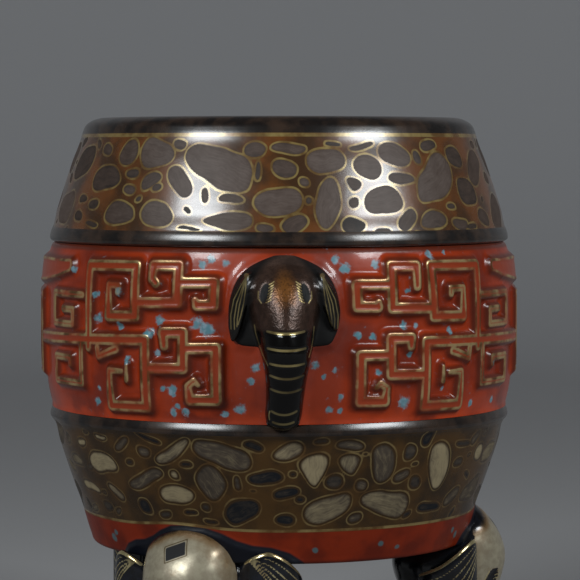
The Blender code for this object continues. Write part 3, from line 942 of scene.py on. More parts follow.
class PebbleBand:
    """All the pebbles of a band."""

    power: float = 2.25
    fill_sizes: Sequence[float] = (7.5, 5.6, 4.2, 3.0, 2.2, 1.5)
    fill_tones: Sequence[Tone] = (Tone.DIM, Tone.PLAIN, Tone.PLAIN, Tone.LIGHT)
    fill_tries: int = 300
    fill_reach: float = 48.0
    fill_gap: float = 0.8

    def __init__(self, seen: Sequence[Pebble], radius: float, height: float, seed: int) -> None:
        """Repeats at the back the pebbles that show from the front, and fills the sides.

        Args:
            seen: The pebbles of the front.
            radius: The band's middle radius.
            height: The band's height.
            seed: Seeds the fillers.
        """
        self.radius = radius
        self.half_turn = math.pi * radius
        self.stones = list(seen) + [
            Pebble(s.around + self.half_turn, s.down, s.half_length, s.half_width, s.tilt, s.taper, s.tone)
            for s in seen
        ]
        self._fill(random.Random(seed), height)

    def _fill(self, draw: random.Random, height: float) -> None:
        """Throws pebbles into the gaps at the sides, the large ones first.

        Args:
            draw: The source of the random draws.
            height: The band's height.
        """
        for half_length in self.fill_sizes:
            for _ in range(self.fill_tries):
                side = draw.choice((-0.5, 0.5)) * self.half_turn
                half_width = half_length * draw.uniform(0.5, 0.8)
                reach = half_width * 0.9
                stone = Pebble(
                    side + draw.uniform(-self.fill_reach, self.fill_reach),
                    draw.uniform(reach, height - reach), half_length, half_width,
                    draw.uniform(-35, 35), draw.uniform(-0.3, 0.3), draw.choice(self.fill_tones),
                )
                if self._is_clear(stone):
                    self.stones.append(stone)

    def _from(self, around: Union[float, np.ndarray], centre: float) -> Union[float, np.ndarray]:
        """The signed distance round the band from a centre."""
        return (around - centre + self.half_turn) % (2 * self.half_turn) - self.half_turn

    def _is_clear(self, stone: Pebble) -> bool:
        """Whether a pebble keeps off all those that are there.

        Args:
            stone: The pebble.

        Returns:
            False where it comes too close to another.
        """
        for other in self.stones:
            gap = math.hypot(self._from(stone.around, other.around), stone.down - other.down)
            sizes = 0.5 * (stone.half_length + stone.half_width + other.half_length + other.half_width)
            if gap < sizes + self.fill_gap:
                return False
        return True

    def values(self, bearing: np.ndarray, down: np.ndarray) -> Dict[str, np.ndarray]:
        """The pebbles' values for the shader at places on the band.

        Args:
            bearing: The places' bearings.
            down: Their distances down from the band's top.

        Returns:
            Depth inside the nearest pebble's edge, its tone, the place along and across it, and how much
            the gold is dimmed towards the sides as painted shade.
        """
        angle = np.radians(bearing)
        # Slow waves take the evenness out of the ovals' outlines, as a hand does.
        sway = 0.45 * np.sin(17 * angle + 0.31 * down + 0.6) + 0.15 * np.sin(0.7 * down - 23 * angle + 2)
        dip = 0.40 * np.sin(21 * angle - 0.22 * down + 4.1) + 0.15 * np.sin(46 * angle + 0.3 * down + 0.9)
        around = angle * self.radius + sway
        down = down + dip
        depth = np.full(bearing.shape, -FAR)
        tone = np.full(bearing.shape, 0.5)
        grain_along = np.zeros(bearing.shape)
        grain_across = np.zeros(bearing.shape)
        for stone in self.stones:
            x = self._from(around, stone.around)
            near = np.flatnonzero((np.abs(x) < stone.half_length + 4) & (np.abs(down - stone.down) < 16))
            y = down[near] - stone.down
            cosine, sine = math.cos(math.radians(stone.tilt)), math.sin(math.radians(stone.tilt))
            along = x[near] * cosine + y * sine
            across = y * cosine - x[near] * sine
            a = stone.half_length
            b = stone.half_width * (1 - stone.taper * np.clip(along / a, -1.2, 1.2))
            p = self.power
            level = np.maximum((np.abs(along / a) ** p + np.abs(across / b) ** p) ** (1 / p), 1e-3)
            slope = np.hypot(np.abs(along / a) ** (p - 1) / a, np.abs(across / b) ** (p - 1) / b)
            steep = np.maximum(slope * level ** (1 - p), 1e-6)
            inside = np.clip((1 - level) / steep, -FAR, stone.half_width)
            better = inside > depth[near]
            index = near[better]
            depth[index] = inside[better]
            tone[index] = stone.tone.value
            grain_along[index] = along[better]
            grain_across[index] = across[better]
        return {
            "pebble_depth": depth,
            "pebble_tone": tone,
            "grain_along": grain_along,
            "grain_across": grain_across,
            "side_shade": smoothstep(np.abs((bearing + 90) % 180 - 90), 40.0, 60.0),
        }


@dataclass(frozen=True)
class Speck:
    """A fleck of turquoise on the red glaze, at a bearing and a distance down from the glaze's upper edge."""

    bearing: float
    down: float
    radius: float


BELLY_SPECKS = [Speck(*row) for row in (
    (14, 6, 1.3), (21.5, 5, 1.1), (36.5, 2.5, 1), (41.5, 2, 0.6), (29.5, 13, 0.6), (17, 25.5, 0.9),
    (20.5, 26, 0.9), (28.5, 23, 1), (32, 23, 0.7), (42, 25, 0.9), (30, 31.5, 0.8), (22, 36.5, 0.8),
    (29, 45.5, 1.4), (40, 42, 0.6), (59, 36, 0.7), (51.5, 47.5, 0.9), (62.5, 47.5, 0.8), (13, 43.5, 0.8),
    (-6.5, 34.5, 1.1), (-7.5, 38.5, 1), (-10, 47, 1.3), (-13.5, 48.5, 0.7), (7, 34, 0.9), (11.5, 35.5, 0.7),
    (9, 37.5, 0.6), (10.5, 47, 0.9), (13, 47.5, 0.7), (12, 3.5, 1), (-13.5, 4.5, 0.9), (-19, 5, 1),
    (-17, 3.5, 1), (-58, 7.5, 0.8), (-48.5, 14.5, 0.8), (-48, 21.5, 1.1), (-40.5, 23.5, 1),
    (-40.5, 13.5, 1), (-29.5, 21.5, 1.3), (-32, 25, 1.2), (-20, 22, 1.5), (-18.5, 23, 1.4),
    (-17.5, 24, 1.6), (-38.5, 33.5, 1.1), (-30, 31, 0.9), (-26.5, 42, 1.3), (-29, 41.5, 0.8),
    (-26.5, 48.5, 1), (-23.5, 48, 1), (-25.5, 46.5, 0.7), (-49.5, 46.5, 1), (-48.5, 42.5, 0.7),
    (-14, 48.5, 0.8),
)]

BASE_SPECKS = [Speck(*row) for row in (
    (9, 6, 0.8), (29, 5, 0.8), (35, 6.5, 0.7), (-57.8, 6, 1.2), (-56, 4, 0.8), (60, 4, 0.8), (63, 6, 1.0),
)]


def speck_values(
    specks: Sequence[Speck], bearing: np.ndarray, down: np.ndarray, radius: float
) -> np.ndarray:
    """How deep places lie in the specks, which are repeated at the back.

    Args:
        specks: The front's specks.
        bearing: The places' bearings.
        down: Their distances down from the glaze's upper edge.
        radius: The glaze's radius.

    Returns:
        1 at a speck's middle to 0 off it.
    """
    deepest = np.zeros(bearing.shape)
    for speck in specks:
        for turn in HANDLE_BEARINGS.values():
            x = np.radians(from_bearing(bearing, speck.bearing + turn)) * radius
            gap = np.hypot(x, down - speck.down)
            deepest = np.maximum(deepest, 1 - smoothstep(gap, 0.1, speck.radius * 2.2))
    return deepest


@dataclass(frozen=True)
class Barrel:
    """The sizes of the turned body."""

    underside_z: float = 48.0
    lower_ridge_z: float = 87.2
    belly_z: float = 90.8
    upper_ridge_z: float = 142.2
    rim_z: float = 174.5
    base_radius: float = 58.2
    belly_edge_radius: float = 71.0
    belly_middle_radius: float = 73.3
    belly_bend: float = 4.0
    shoulder_height: float = 1.5
    shoulder_drop: float = 0.7
    upper_line_z: float = 174.92
    lower_line_z: float = 58.4

    @property
    def belly_height(self) -> float:
        """The height of the red belly."""
        return self.upper_ridge_z - self.belly_z

    def belly_radius(self, z: np.ndarray) -> np.ndarray:
        """The belly's ground, a shallow swell between its two edges.

        Args:
            z: Heights.

        Returns:
            The radii there, without the scroll.
        """
        off_middle = np.clip(np.abs(2 * (z - self.belly_z) / self.belly_height - 1), 0, 1)
        swell = self.belly_edge_radius - self.belly_middle_radius
        drop = gathered(self.upper_ridge_z - z, self.shoulder_height, self.shoulder_drop)
        return self.belly_middle_radius + swell * off_middle**self.belly_bend - drop

    def upper_profile(self) -> np.ndarray:
        """Radius and height from the belly's upper edge over the rim to the middle of the floor.

        Returns:
            Radius and height, one row each.
        """
        outside = smooth_curve([
            (70.3, 142.2), (71.3, 142.4), (71.85, 142.9), (71.98, 143.6), (71.84, 144.4), (71.6, 145.3),
            (71.3, 146.1), (70.9, 146.9), (70.65, 147.8), (69.8, 151.6), (68.8, 154.9), (66.8, 161.1),
            (64.7, 167.4), (62.3, 173.65), (61.95, 174.9), (61.62, 176.0), (61.28, 176.9), (60.95, 177.7),
            (60.45, 178.4), (59.75, 179.0), (58.5, 179.7), (57.0, 180.25), (55.5, 180.45), (54.5, 180.0),
            (54.05, 179.2), (54.0, 178.2),
        ], 0.46)
        inside = smooth_curve([
            (54.0, 178.2), (54.3, 174.5), (57.8, 165.0), (63.3, 152.0), (67.0, 140.0), (68.3, 116.5),
            (67.0, 92.0), (60.6, 70.0), (57.4, 60.5), (55.6, 55.6), (51.4, 53.7), (46.0, 53.6),
        ], 5.0)
        floor = np.array([(30.0, 53.6), (14.0, 53.6), (0.02, 53.6)])
        return np.vstack((outside, inside[1:], floor))

    def lower_profile(self) -> np.ndarray:
        """Radius and height from the belly's lower edge down to the middle of the underside.

        Returns:
            Radius and height, one row each.
        """
        outside = smooth_curve([
            (71.2, 91.0), (71.5, 90.3), (71.75, 89.6), (71.95, 88.9), (72.05, 88.2), (71.9, 87.5),
            (71.0, 86.4), (69.1, 79.9), (66.95, 73.2), (64.7, 66.7), (62.35, 60.3), (61.1, 56.0),
            (60.0, 52.3), (59.2, 49.9), (58.9, 48.9), (58.3, 48.2), (57.3, 48.0),
        ], 0.46)
        underside = np.array([(54.0, 48.0), (44.0, 48.0), (30.0, 48.0), (15.0, 48.0), (0.02, 48.0)])
        return np.vstack((outside, underside))


# The scroll bars' widths.
WIDE = 4.9
MIDDLE = 4.3
NARROW = 3.7

# The scroll beside a handle, as lines of points. A point is a bearing in degrees from the handle, a share
# of the belly's height from its top, and the bar's width there. The two sides are listed one by one.
SIDE_LINES = {
    Half.LEFT: {
        "upper hook": [
            (23.6, 0.200, WIDE), (15.8, 0.197, WIDE), (16.0, 0.325, WIDE), (19.6, 0.325, WIDE),
            (20.2, 0.298, NARROW),
        ],
        "upper small scroll": [
            (30.0, 0.205, MIDDLE), (31.0, 0.180, MIDDLE), (30.8, 0.105, WIDE), (24.4, 0.103, WIDE),
            (24.5, 0.313, WIDE), (34.5, 0.318, WIDE),
        ],
        "upper great scroll": [
            (40.7, 0.262, NARROW), (40.5, 0.225, NARROW), (43.5, 0.222, NARROW), (43.5, 0.402, WIDE),
            (35.6, 0.397, WIDE), (35.6, 0.110, WIDE), (50.4, 0.115, WIDE), (50.6, 0.590, MIDDLE),
        ],
        "lower hook": [
            (22.6, 0.572, WIDE), (15.4, 0.566, WIDE), (15.4, 0.861, WIDE), (21.6, 0.863, WIDE),
            (22.0, 0.785, NARROW), (20.6, 0.755, NARROW), (19.6, 0.775, 3.0),
        ],
        "lower small scroll": [
            (27.8, 0.560, MIDDLE), (28.1, 0.485, WIDE), (23.2, 0.482, WIDE), (23.2, 0.685, WIDE),
            (31.5, 0.690, WIDE),
        ],
        "lower great scroll": [
            (39.6, 0.716, 3.0), (43.4, 0.716, NARROW), (43.4, 0.920, WIDE), (32.9, 0.915, WIDE),
            (32.9, 0.530, WIDE), (78.0, 0.565, WIDE),
        ],
        "tongue": [(38.2, 0.680, 2.6), (38.2, 0.765, 3.2)],
        "barb": [(47.4, 0.590, NARROW), (47.0, 0.640, NARROW), (41.2, 0.590, 4.2)],
    },
    Half.RIGHT: {
        "upper hook": [
            (24.2, 0.212, WIDE), (16.4, 0.209, WIDE), (16.6, 0.333, WIDE), (21.4, 0.337, WIDE),
            (21.6, 0.312, NARROW),
        ],
        "upper small scroll": [
            (31.7, 0.225, MIDDLE), (31.7, 0.110, WIDE), (25.0, 0.106, WIDE), (25.1, 0.346, WIDE),
            (36.0, 0.352, WIDE),
        ],
        "upper great scroll": [
            (41.8, 0.275, NARROW), (41.8, 0.245, NARROW), (45.9, 0.245, NARROW), (45.9, 0.407, WIDE),
            (36.4, 0.402, WIDE), (35.8, 0.110, WIDE), (51.5, 0.115, WIDE), (51.6, 0.590, MIDDLE),
        ],
        "lower hook": [
            (24.0, 0.612, WIDE), (17.4, 0.610, WIDE), (17.4, 0.872, WIDE), (23.4, 0.876, WIDE),
            (23.8, 0.800, NARROW), (22.2, 0.775, NARROW), (21.2, 0.795, 3.0),
        ],
        "lower small scroll": [
            (30.0, 0.565, MIDDLE), (30.0, 0.520, WIDE), (24.7, 0.518, WIDE), (24.8, 0.724, WIDE),
            (33.5, 0.730, WIDE),
        ],
        "lower great scroll": [
            (41.4, 0.728, 3.0), (45.3, 0.728, NARROW), (45.3, 0.920, WIDE), (34.2, 0.915, WIDE),
            (34.2, 0.545, WIDE), (78.0, 0.565, WIDE),
        ],
        "tongue": [(39.4, 0.690, 2.6), (39.4, 0.775, 3.2)],
        "barb": [(48.3, 0.590, NARROW), (48.0, 0.650, NARROW), (42.4, 0.605, 4.2)],
    },
}

# The mask's eyes, brow and nose between them, at the middle of a side, with bearings from either handle.
MASK_LINES = {
    "upper eye": [
        (53.0, 0.29, NARROW), (67.0, 0.29, NARROW), (67.0, 0.467, NARROW), (57.2, 0.467, NARROW),
        (57.2, 0.38, NARROW), (62.0, 0.38, NARROW),
    ],
    "lower eye": [
        (53.6, 0.57, NARROW), (53.6, 0.807, NARROW), (66.3, 0.807, NARROW), (66.3, 0.664, NARROW),
        (58.6, 0.664, NARROW), (58.6, 0.70, NARROW),
    ],
    "brow": [(60.0, 0.125, 5.6), (66.0, 0.143, 7.2), (76.0, 0.156, 8.8), (90.0, 0.167, 9.4)],
    "nose frame": [
        (90.0, 0.317, MIDDLE), (80.0, 0.317, MIDDLE), (80.0, 0.762, MIDDLE), (90.0, 0.762, MIDDLE),
    ],
    "nose ridge": [(90.0, 0.317, WIDE), (90.0, 0.762, WIDE)],
}


@dataclass(frozen=True)
class Scroll:
    """The scroll in low relief, the same beside both handles, with a mask at the middle of each side."""

    height: float = 1.7
    ground_depth: float = -6.0
    foot: float = -1.2
    shoulder: float = 1.25
    groove_depth: float = 0.26
    corner_power: float = 2.3

    def depth(self, barrel: Barrel, bearing: np.ndarray, down: np.ndarray) -> np.ndarray:
        """How far inside the nearest bar's edge each place lies.

        Args:
            barrel: The body that carries the scroll.
            bearing: The places' bearings.
            down: Their distances down from the belly's top.

        Returns:
            Depths in millimetres, below 0 off the bars.
        """
        signed = (bearing + 90) % 180 - 90
        across = np.radians(np.abs(signed)) * barrel.belly_middle_radius
        deepest = np.full(bearing.shape, self.ground_depth)
        for half in Half:
            here = np.flatnonzero(signed * half.value >= 0)
            for line in [*SIDE_LINES[half].values(), *MASK_LINES.values()]:
                flat = [
                    (math.radians(b) * barrel.belly_middle_radius, share * barrel.belly_height, width / 2)
                    for b, share, width in line
                ]
                deepest[here] = np.maximum(deepest[here], self._bar_depth(flat, across[here], down[here]))
        return deepest

    def _bar_depth(self, line: Sequence[Sequence[float]], across: np.ndarray, down: np.ndarray) -> np.ndarray:
        """How far inside the edge of one bent bar each place lies.

        Args:
            line: The bar's points: across, down, and half its width.
            across: The places' distances from the handle's middle.
            down: Their distances down from the belly's top.

        Returns:
            Depths in millimetres, below 0 off the bar.
        """
        deepest = np.full(across.shape, self.ground_depth)
        for (x0, y0, half0), (x1, y1, half1) in zip(line, line[1:]):
            length = math.hypot(x1 - x0, y1 - y0)
            ux, uy = (x1 - x0) / length, (y1 - y0) / length
            along = (across - x0) * ux + (down - y0) * uy
            aside = np.abs((across - x0) * uy - (down - y0) * ux)
            beyond = np.maximum(0, np.maximum(-along, along - length))
            half = half0 + (half1 - half0) * np.clip(along / length, 0, 1)
            off = (beyond**self.corner_power + aside**self.corner_power) ** (1 / self.corner_power)
            deepest = np.maximum(deepest, half - off)
        return deepest

    def rise(self, depth: np.ndarray) -> np.ndarray:
        """How far the scroll stands above the ground at these depths."""
        groove = self.groove_depth * smoothstep(depth, self.shoulder + 0.1, self.shoulder + 0.9)
        return self.height * smoothstep(depth, self.foot, self.shoulder) - groove


@dataclass(frozen=True)
class Belly:
    """The red belly with its scroll, and the glaze that gathers round the handles and above the ridge."""

    barrel: Barrel
    handle: "Handle"
    scroll: Scroll = Scroll()
    columns: int = 880
    rows: int = 100
    handle_reach: float = 25.0
    pool_reach: float = 2.8
    pool_rise: float = 0.9
    foot_pool_height: float = 2.0
    foot_pool_rise: float = 0.5

    def _handle_gap(self, bearing: np.ndarray, z: np.ndarray, ground: np.ndarray) -> np.ndarray:
        """How far places are outside a handle's outline on the belly.

        Args:
            bearing: The places' bearings.
            z: Their heights.
            ground: The belly's radius there.

        Returns:
            The distances, and FAR for places beyond the handles' reach.
        """
        gap = np.full(z.shape, FAR)
        for turn in HANDLE_BEARINGS.values():
            off = from_bearing(bearing, turn)
            near = np.flatnonzero(np.abs(off) < self.handle_reach)
            across = ground[near] * np.sin(np.radians(off[near]))
            places = np.column_stack((across, self.handle.top_z - z[near]))
            gap[near] = outside_distance(places, mirrored(HANDLE_SILHOUETTE))
        return gap

    def build(self, finish: bpy.types.Material) -> bpy.types.Object:
        """Builds and dresses the belly.

        Args:
            finish: Its glaze.

        Returns:
            The piece.
        """
        barrel = self.barrel
        z_rows = np.linspace(barrel.upper_ridge_z, barrel.belly_z, self.rows)
        bearing = np.tile(np.arange(self.columns) * 360 / self.columns, self.rows)
        z = np.repeat(z_rows, self.columns)
        down = barrel.upper_ridge_z - z
        depth = self.scroll.depth(barrel, bearing, down)
        ground = barrel.belly_radius(z)
        pool = gathered(self._handle_gap(bearing, z, ground), self.pool_reach, self.pool_rise)
        pool += gathered(z - barrel.belly_z, self.foot_pool_height, self.foot_pool_rise)
        reach = ground + self.scroll.rise(depth) + pool
        values = {
            "scroll_depth": depth,
            "down": down,
            "speck": speck_values(BELLY_SPECKS, bearing, down, barrel.belly_middle_radius),
        }
        points = around_axis(bearing, reach, z)
        mesh = make_mesh("belly", points, sheet_faces(self.rows, self.columns)[:, ::-1], values)
        return add_piece("belly", mesh, finish)


@dataclass(frozen=True)
class UpperBody:
    """The upper ridge, the upper pebble band, the rim and the inside."""

    barrel: Barrel
    pebbles: PebbleBand
    columns: int = 720
    band_foot_z: float = 146.6
    line_margin: float = 0.5

    def build(self, finish: bpy.types.Material) -> bpy.types.Object:
        """Builds and dresses everything above the belly.

        Args:
            finish: Its glaze.

        Returns:
            The piece.
        """
        barrel = self.barrel
        profile = barrel.upper_profile()
        points, bearing, z = turned(profile, self.columns)
        outside = np.repeat(np.arange(len(profile)) < np.argmax(profile[:, 1]), self.columns)
        band = outside & (z > self.band_foot_z) & (z < barrel.upper_line_z + self.line_margin)
        values = self.pebbles.values(bearing, barrel.rim_z - z)
        values["edge_line"] = np.where(outside, z - barrel.upper_line_z, FAR)
        values["bronze"] = 1 - band.astype(float)
        mesh = make_mesh("upper_body", points, sheet_faces(len(profile), self.columns), values)
        return add_piece("upper_body", mesh, finish)


@dataclass(frozen=True)
class LowerBody:
    """The lower ridge, the lower pebble band, the red base band and the underside."""

    barrel: Barrel
    pebbles: PebbleBand
    columns: int = 720
    line_lift: float = 1.3
    lift_width: float = 12.0
    line_softness: float = 0.2
    collar_squeeze: float = 1.3
    collar_edge: Point = (-0.6, 0.9)
    pool_start: float = 1.5
    pool_reach: float = 3.0
    pool_rise: float = 1.0
    underside_margin: float = 0.4

    def _collar_gap(self, across: np.ndarray, z: np.ndarray) -> np.ndarray:
        """How far places are outside the collar over a foot, which is narrower on its left.

        Args:
            across: The places' distances to the right of the foot's middle.
            z: Their heights.

        Returns:
            The distances, below 0 on the collar.
        """
        leaning = across - FOOT_LEAN
        leaning = np.where(leaning < 0, leaning * self.collar_squeeze, leaning)
        return outside_distance(np.column_stack((leaning, z)), mirrored(FOOT_COLLAR))

    def build(self, finish: bpy.types.Material) -> bpy.types.Object:
        """Builds and dresses everything below the belly.

        Args:
            finish: Its glaze.

        Returns:
            The piece.
        """
        barrel = self.barrel
        profile = barrel.lower_profile()
        points, bearing, z = turned(profile, self.columns)
        collar = np.zeros(z.shape)
        line_z = np.full(z.shape, barrel.lower_line_z)
        pool = np.zeros(z.shape)
        for turn in FOOT_BEARINGS.values():
            across = np.radians(from_bearing(bearing, turn)) * barrel.base_radius
            line_z += self.line_lift * np.exp(-((across / self.lift_width) ** 2))
            gap = self._collar_gap(across, z)
            collar = np.maximum(collar, 1 - smoothstep(gap, *self.collar_edge))
            pool = np.maximum(pool, gathered(gap + self.pool_start, self.pool_reach, self.pool_rise))
        pool[z <= barrel.underside_z + self.underside_margin] = 0
        points[:, :2] *= (1 + pool / np.maximum(np.hypot(points[:, 0], points[:, 1]), 1))[:, None]
        values = self.pebbles.values(bearing, barrel.lower_ridge_z - z)
        values["edge_line"] = z - line_z
        values["bronze"] = smoothstep(z, barrel.lower_ridge_z - 0.2, barrel.lower_ridge_z + 0.5)
        values["red"] = 1 - smoothstep(z - line_z, -self.line_softness, self.line_softness)
        values["collar"] = collar
        values["speck"] = speck_values(BASE_SPECKS, bearing, barrel.lower_line_z - z, barrel.base_radius)
        mesh = make_mesh("lower_body", points, sheet_faces(len(profile), self.columns)[:, ::-1], values)
        return add_piece("lower_body", mesh, finish)


HANDLE_BEARINGS = {"handle_front": 0, "handle_back": 180}
FOOT_BEARINGS = {"foot_front_left": -30, "foot_right": 90, "foot_back_left": 210}

# How far a foot's head leans to the right, in millimetres.
FOOT_LEAN = 2.2

# A handle's sections from its crown to the tip of its trunk: distance down, half width, reach from
# the wall, and how far the trunk sways to the right.
HANDLE_SECTIONS = [
    (0.0, 2.4, 0.0, 0.0), (2.0, 7.6, 4.4, 0.0), (6.0, 10.6, 8.6, 0.0), (12.0, 10.9, 12.0, 0.0),
    (18.0, 9.9, 13.9, 0.1), (22.0, 8.9, 14.8, 0.2), (26.5, 7.8, 15.3, 0.4), (30.0, 6.9, 14.8, 0.5),
    (35.0, 6.0, 13.2, 0.4), (42.0, 5.4, 10.6, 0.0), (47.0, 5.0, 9.6, -0.4), (49.2, 4.0, 9.0, -0.5),
    (50.0, 2.3, 7.5, -0.5),
]

# The right half of a handle's outline on the wall, ear included: across and down from its crown.
HANDLE_SILHOUETTE = [
    (0, -0.3), (4.4, 0.3), (7.6, 1.5), (10.7, 3.2), (13.3, 5.9), (14.9, 8.8), (16.0, 12.6), (16.4, 16.5),
    (16.0, 20.3), (14.8, 23.4), (13.4, 25.6), (10.5, 26.2), (7.9, 26.6), (7.0, 30.0), (6.1, 34.0),
    (5.5, 39.5), (5.1, 45.0), (4.9, 48.0), (3.8, 49.7), (0, 50.5),
]

# An ear's bed beside the head, which falls from a dome at its top to a low pad, and the leaf on it.
EAR_BED = [
    (-3.0, -0.2), (0.0, -0.3), (3.0, -0.1), (4.8, 0.5), (7.4, 1.6), (10.4, 3.3), (13.0, 5.9), (14.6, 8.8),
    (15.7, 12.3), (16.2, 16.5), (15.8, 20.2), (14.7, 23.3), (13.4, 25.4), (10.5, 26.0), (7.0, 26.0),
    (3.0, 20.0), (-3.0, 10.0),
]
EAR_LEAVES = {
    Half.LEFT: [
        (9.6, 4.6), (11.0, 5.2), (12.8, 7.6), (14.8, 11.2), (16.1, 16.7), (16.0, 21.7), (14.9, 24.9),
        (13.6, 23.2), (12.2, 18.9), (11.3, 15.3), (10.6, 10.5),
    ],
    Half.RIGHT: [
        (9.7, 4.8), (11.2, 5.5), (13.1, 7.8), (15.1, 11.3), (16.2, 15.3), (15.9, 18.9), (14.9, 21.6),
        (13.8, 20.6), (12.7, 17.8), (11.4, 14.6), (10.6, 10.0),
    ],
}

# The right half of the dark collar where a foot's head meets the base band, partly dark glaze and partly
# painted shade above the ear: across and height.
FOOT_COLLAR = [
    (0, 59.3), (6.0, 58.9), (11.0, 57.2), (15.0, 55.2), (19.5, 53.8), (25.0, 53.2), (30.0, 51.6),
    (34.0, 48.8), (35.5, 46.0), (0, 46.0),
]

# A foot's sections from its crown to the ground: height, half width, and how far the front and the
# back stand outwards from the underside's edge.
FOOT_SECTIONS = [
    (0.0, 8.1, 9.3, -7.7), (1.5, 9.0, 10.1, -8.5), (5.3, 8.8, 8.0, -8.5), (11.2, 8.6, 5.5, -8.8),
    (17.1, 9.2, 5.9, -10.3), (23.6, 10.9, 7.8, -13.5), (30.0, 13.6, 10.6, -18.5), (35.9, 15.2, 12.7, -21.5),
    (42.4, 15.2, 13.8, -21.5), (48.9, 14.0, 12.0, -14.0), (53.6, 11.6, 9.0, -4.5), (56.5, 7.8, 6.2, -0.8),
    (58.9, 2.1, 2.6, 0.0),
]

# Where each ear of a foot curls: its middle across and outwards, and how far it is raised.
FOOT_CURLS = {Half.LEFT: (17.0, 51.2, -1.5), Half.RIGHT: (22.8, 47.6, 0.8)}

# A foot's ear as it curls round: the angle round the curl, and the heights of its top and bottom.
FOOT_EAR_COLUMNS = [
    (-60, 44.0, 37.0), (-35, 46.6, 33.0), (-15, 48.9, 29.5), (5, 50.6, 27.0), (27, 51.6, 25.0),
    (50, 50.3, 23.0), (78, 47.2, 21.4), (100, 44.6, 21.6), (125, 42.6, 24.0), (150, 41.2, 29.0),
]


def lofted(rings: Sequence[np.ndarray]) -> Tuple[np.ndarray, np.ndarray]:
    """A closed shape through rings of points, its ends closed on their middles.

    Args:
        rings: The rings, each with the same number of points.

    Returns:
        Points, and corner indices, three for each triangle.
    """
    count = len(rings[0])
    points = np.vstack(list(rings) + [rings[0].mean(axis=0), rings[-1].mean(axis=0)])
    sides = sheet_faces(len(rings), count)
    here = np.arange(count)
    after = (here + 1) % count
    last = (len(rings) - 1) * count
    near_cap = np.column_stack((after, here, np.full(count, len(rings) * count)))
    far_cap = np.column_stack((last + here, last + after, np.full(count, len(rings) * count + 1)))
    caps = np.vstack((near_cap, far_cap))
    triangles = np.vstack((sides[:, [0, 1, 2]], sides[:, [0, 2, 3]], caps))
    return points, triangles


def squared_ellipse(sides: int, half_width: float, front: float, back: float, power: float) -> np.ndarray:
    """A level section of a foot's head, an ellipse that is a little squared.

    Args:
        sides: How many points it has.
        half_width: Half its width.
        front: How far out its front is.
        back: How far out its back is.
        power: 2 for an ellipse, more for a squarer shape.

    Returns:
        Across and outwards, one row for each point.
    """
    angle = np.arange(sides) * 2 * math.pi / sides
    sine, cosine = np.sin(angle), np.cos(angle)
    across = half_width * np.copysign(np.abs(sine) ** (2 / power), sine)
    out = (front + back) / 2 + (front - back) / 2 * np.copysign(np.abs(cosine) ** (2 / power), cosine)
    return np.column_stack((across, out))


def fused(
    name: str, shapes: Sequence[Tuple[np.ndarray, np.ndarray]], voxel: float, rounds: int
) -> bpy.types.Mesh:
    """Fuses closed shapes into one skin and softens its creases, as a thick glaze does.

    Args:
        name: The new mesh's name.
        shapes: Points in millimetres and triangles of each shape.
        voxel: The fineness of the new skin, in millimetres.
        rounds: How often it is softened.

    Returns:
        The mesh, in metres.
    """
    points, faces, first = [], [], 0
    for shape_points, shape_faces in shapes:
        points.append(shape_points)
        faces.append(shape_faces + first)
        first += len(shape_points)
    rough = make_mesh(name + "_rough", np.vstack(points), np.vstack(faces))
    helper = bpy.data.objects.new(name + "_helper", rough)
    bpy.context.scene.collection.objects.link(helper)
    skin = helper.modifiers.new("skin", "REMESH")
    skin.mode = "VOXEL"
    skin.voxel_size = voxel * MM
    soft = helper.modifiers.new("soft", "SMOOTH")
    soft.factor = 0.5
    soft.iterations = rounds
    depsgraph = bpy.context.evaluated_depsgraph_get()
    mesh = bpy.data.meshes.new_from_object(helper.evaluated_get(depsgraph))
    bpy.data.objects.remove(helper)
    bpy.data.meshes.remove(rough)
    mesh.name = name
    return mesh


def displace(mesh: bpy.types.Mesh, amount: np.ndarray) -> None:
    """Moves a mesh's points along their normals, by millimetres.

    Args:
        mesh: The mesh.
        amount: How far each point moves outwards.
    """
    normals = np.empty(len(mesh.vertices) * 3)
    mesh.vertex_normals.foreach_get("vector", normals)
    points = mesh_points(mesh) + normals.reshape(-1, 3) * amount[:, None]
    mesh.vertices.foreach_set("co", (points * MM).ravel())
    mesh.update()


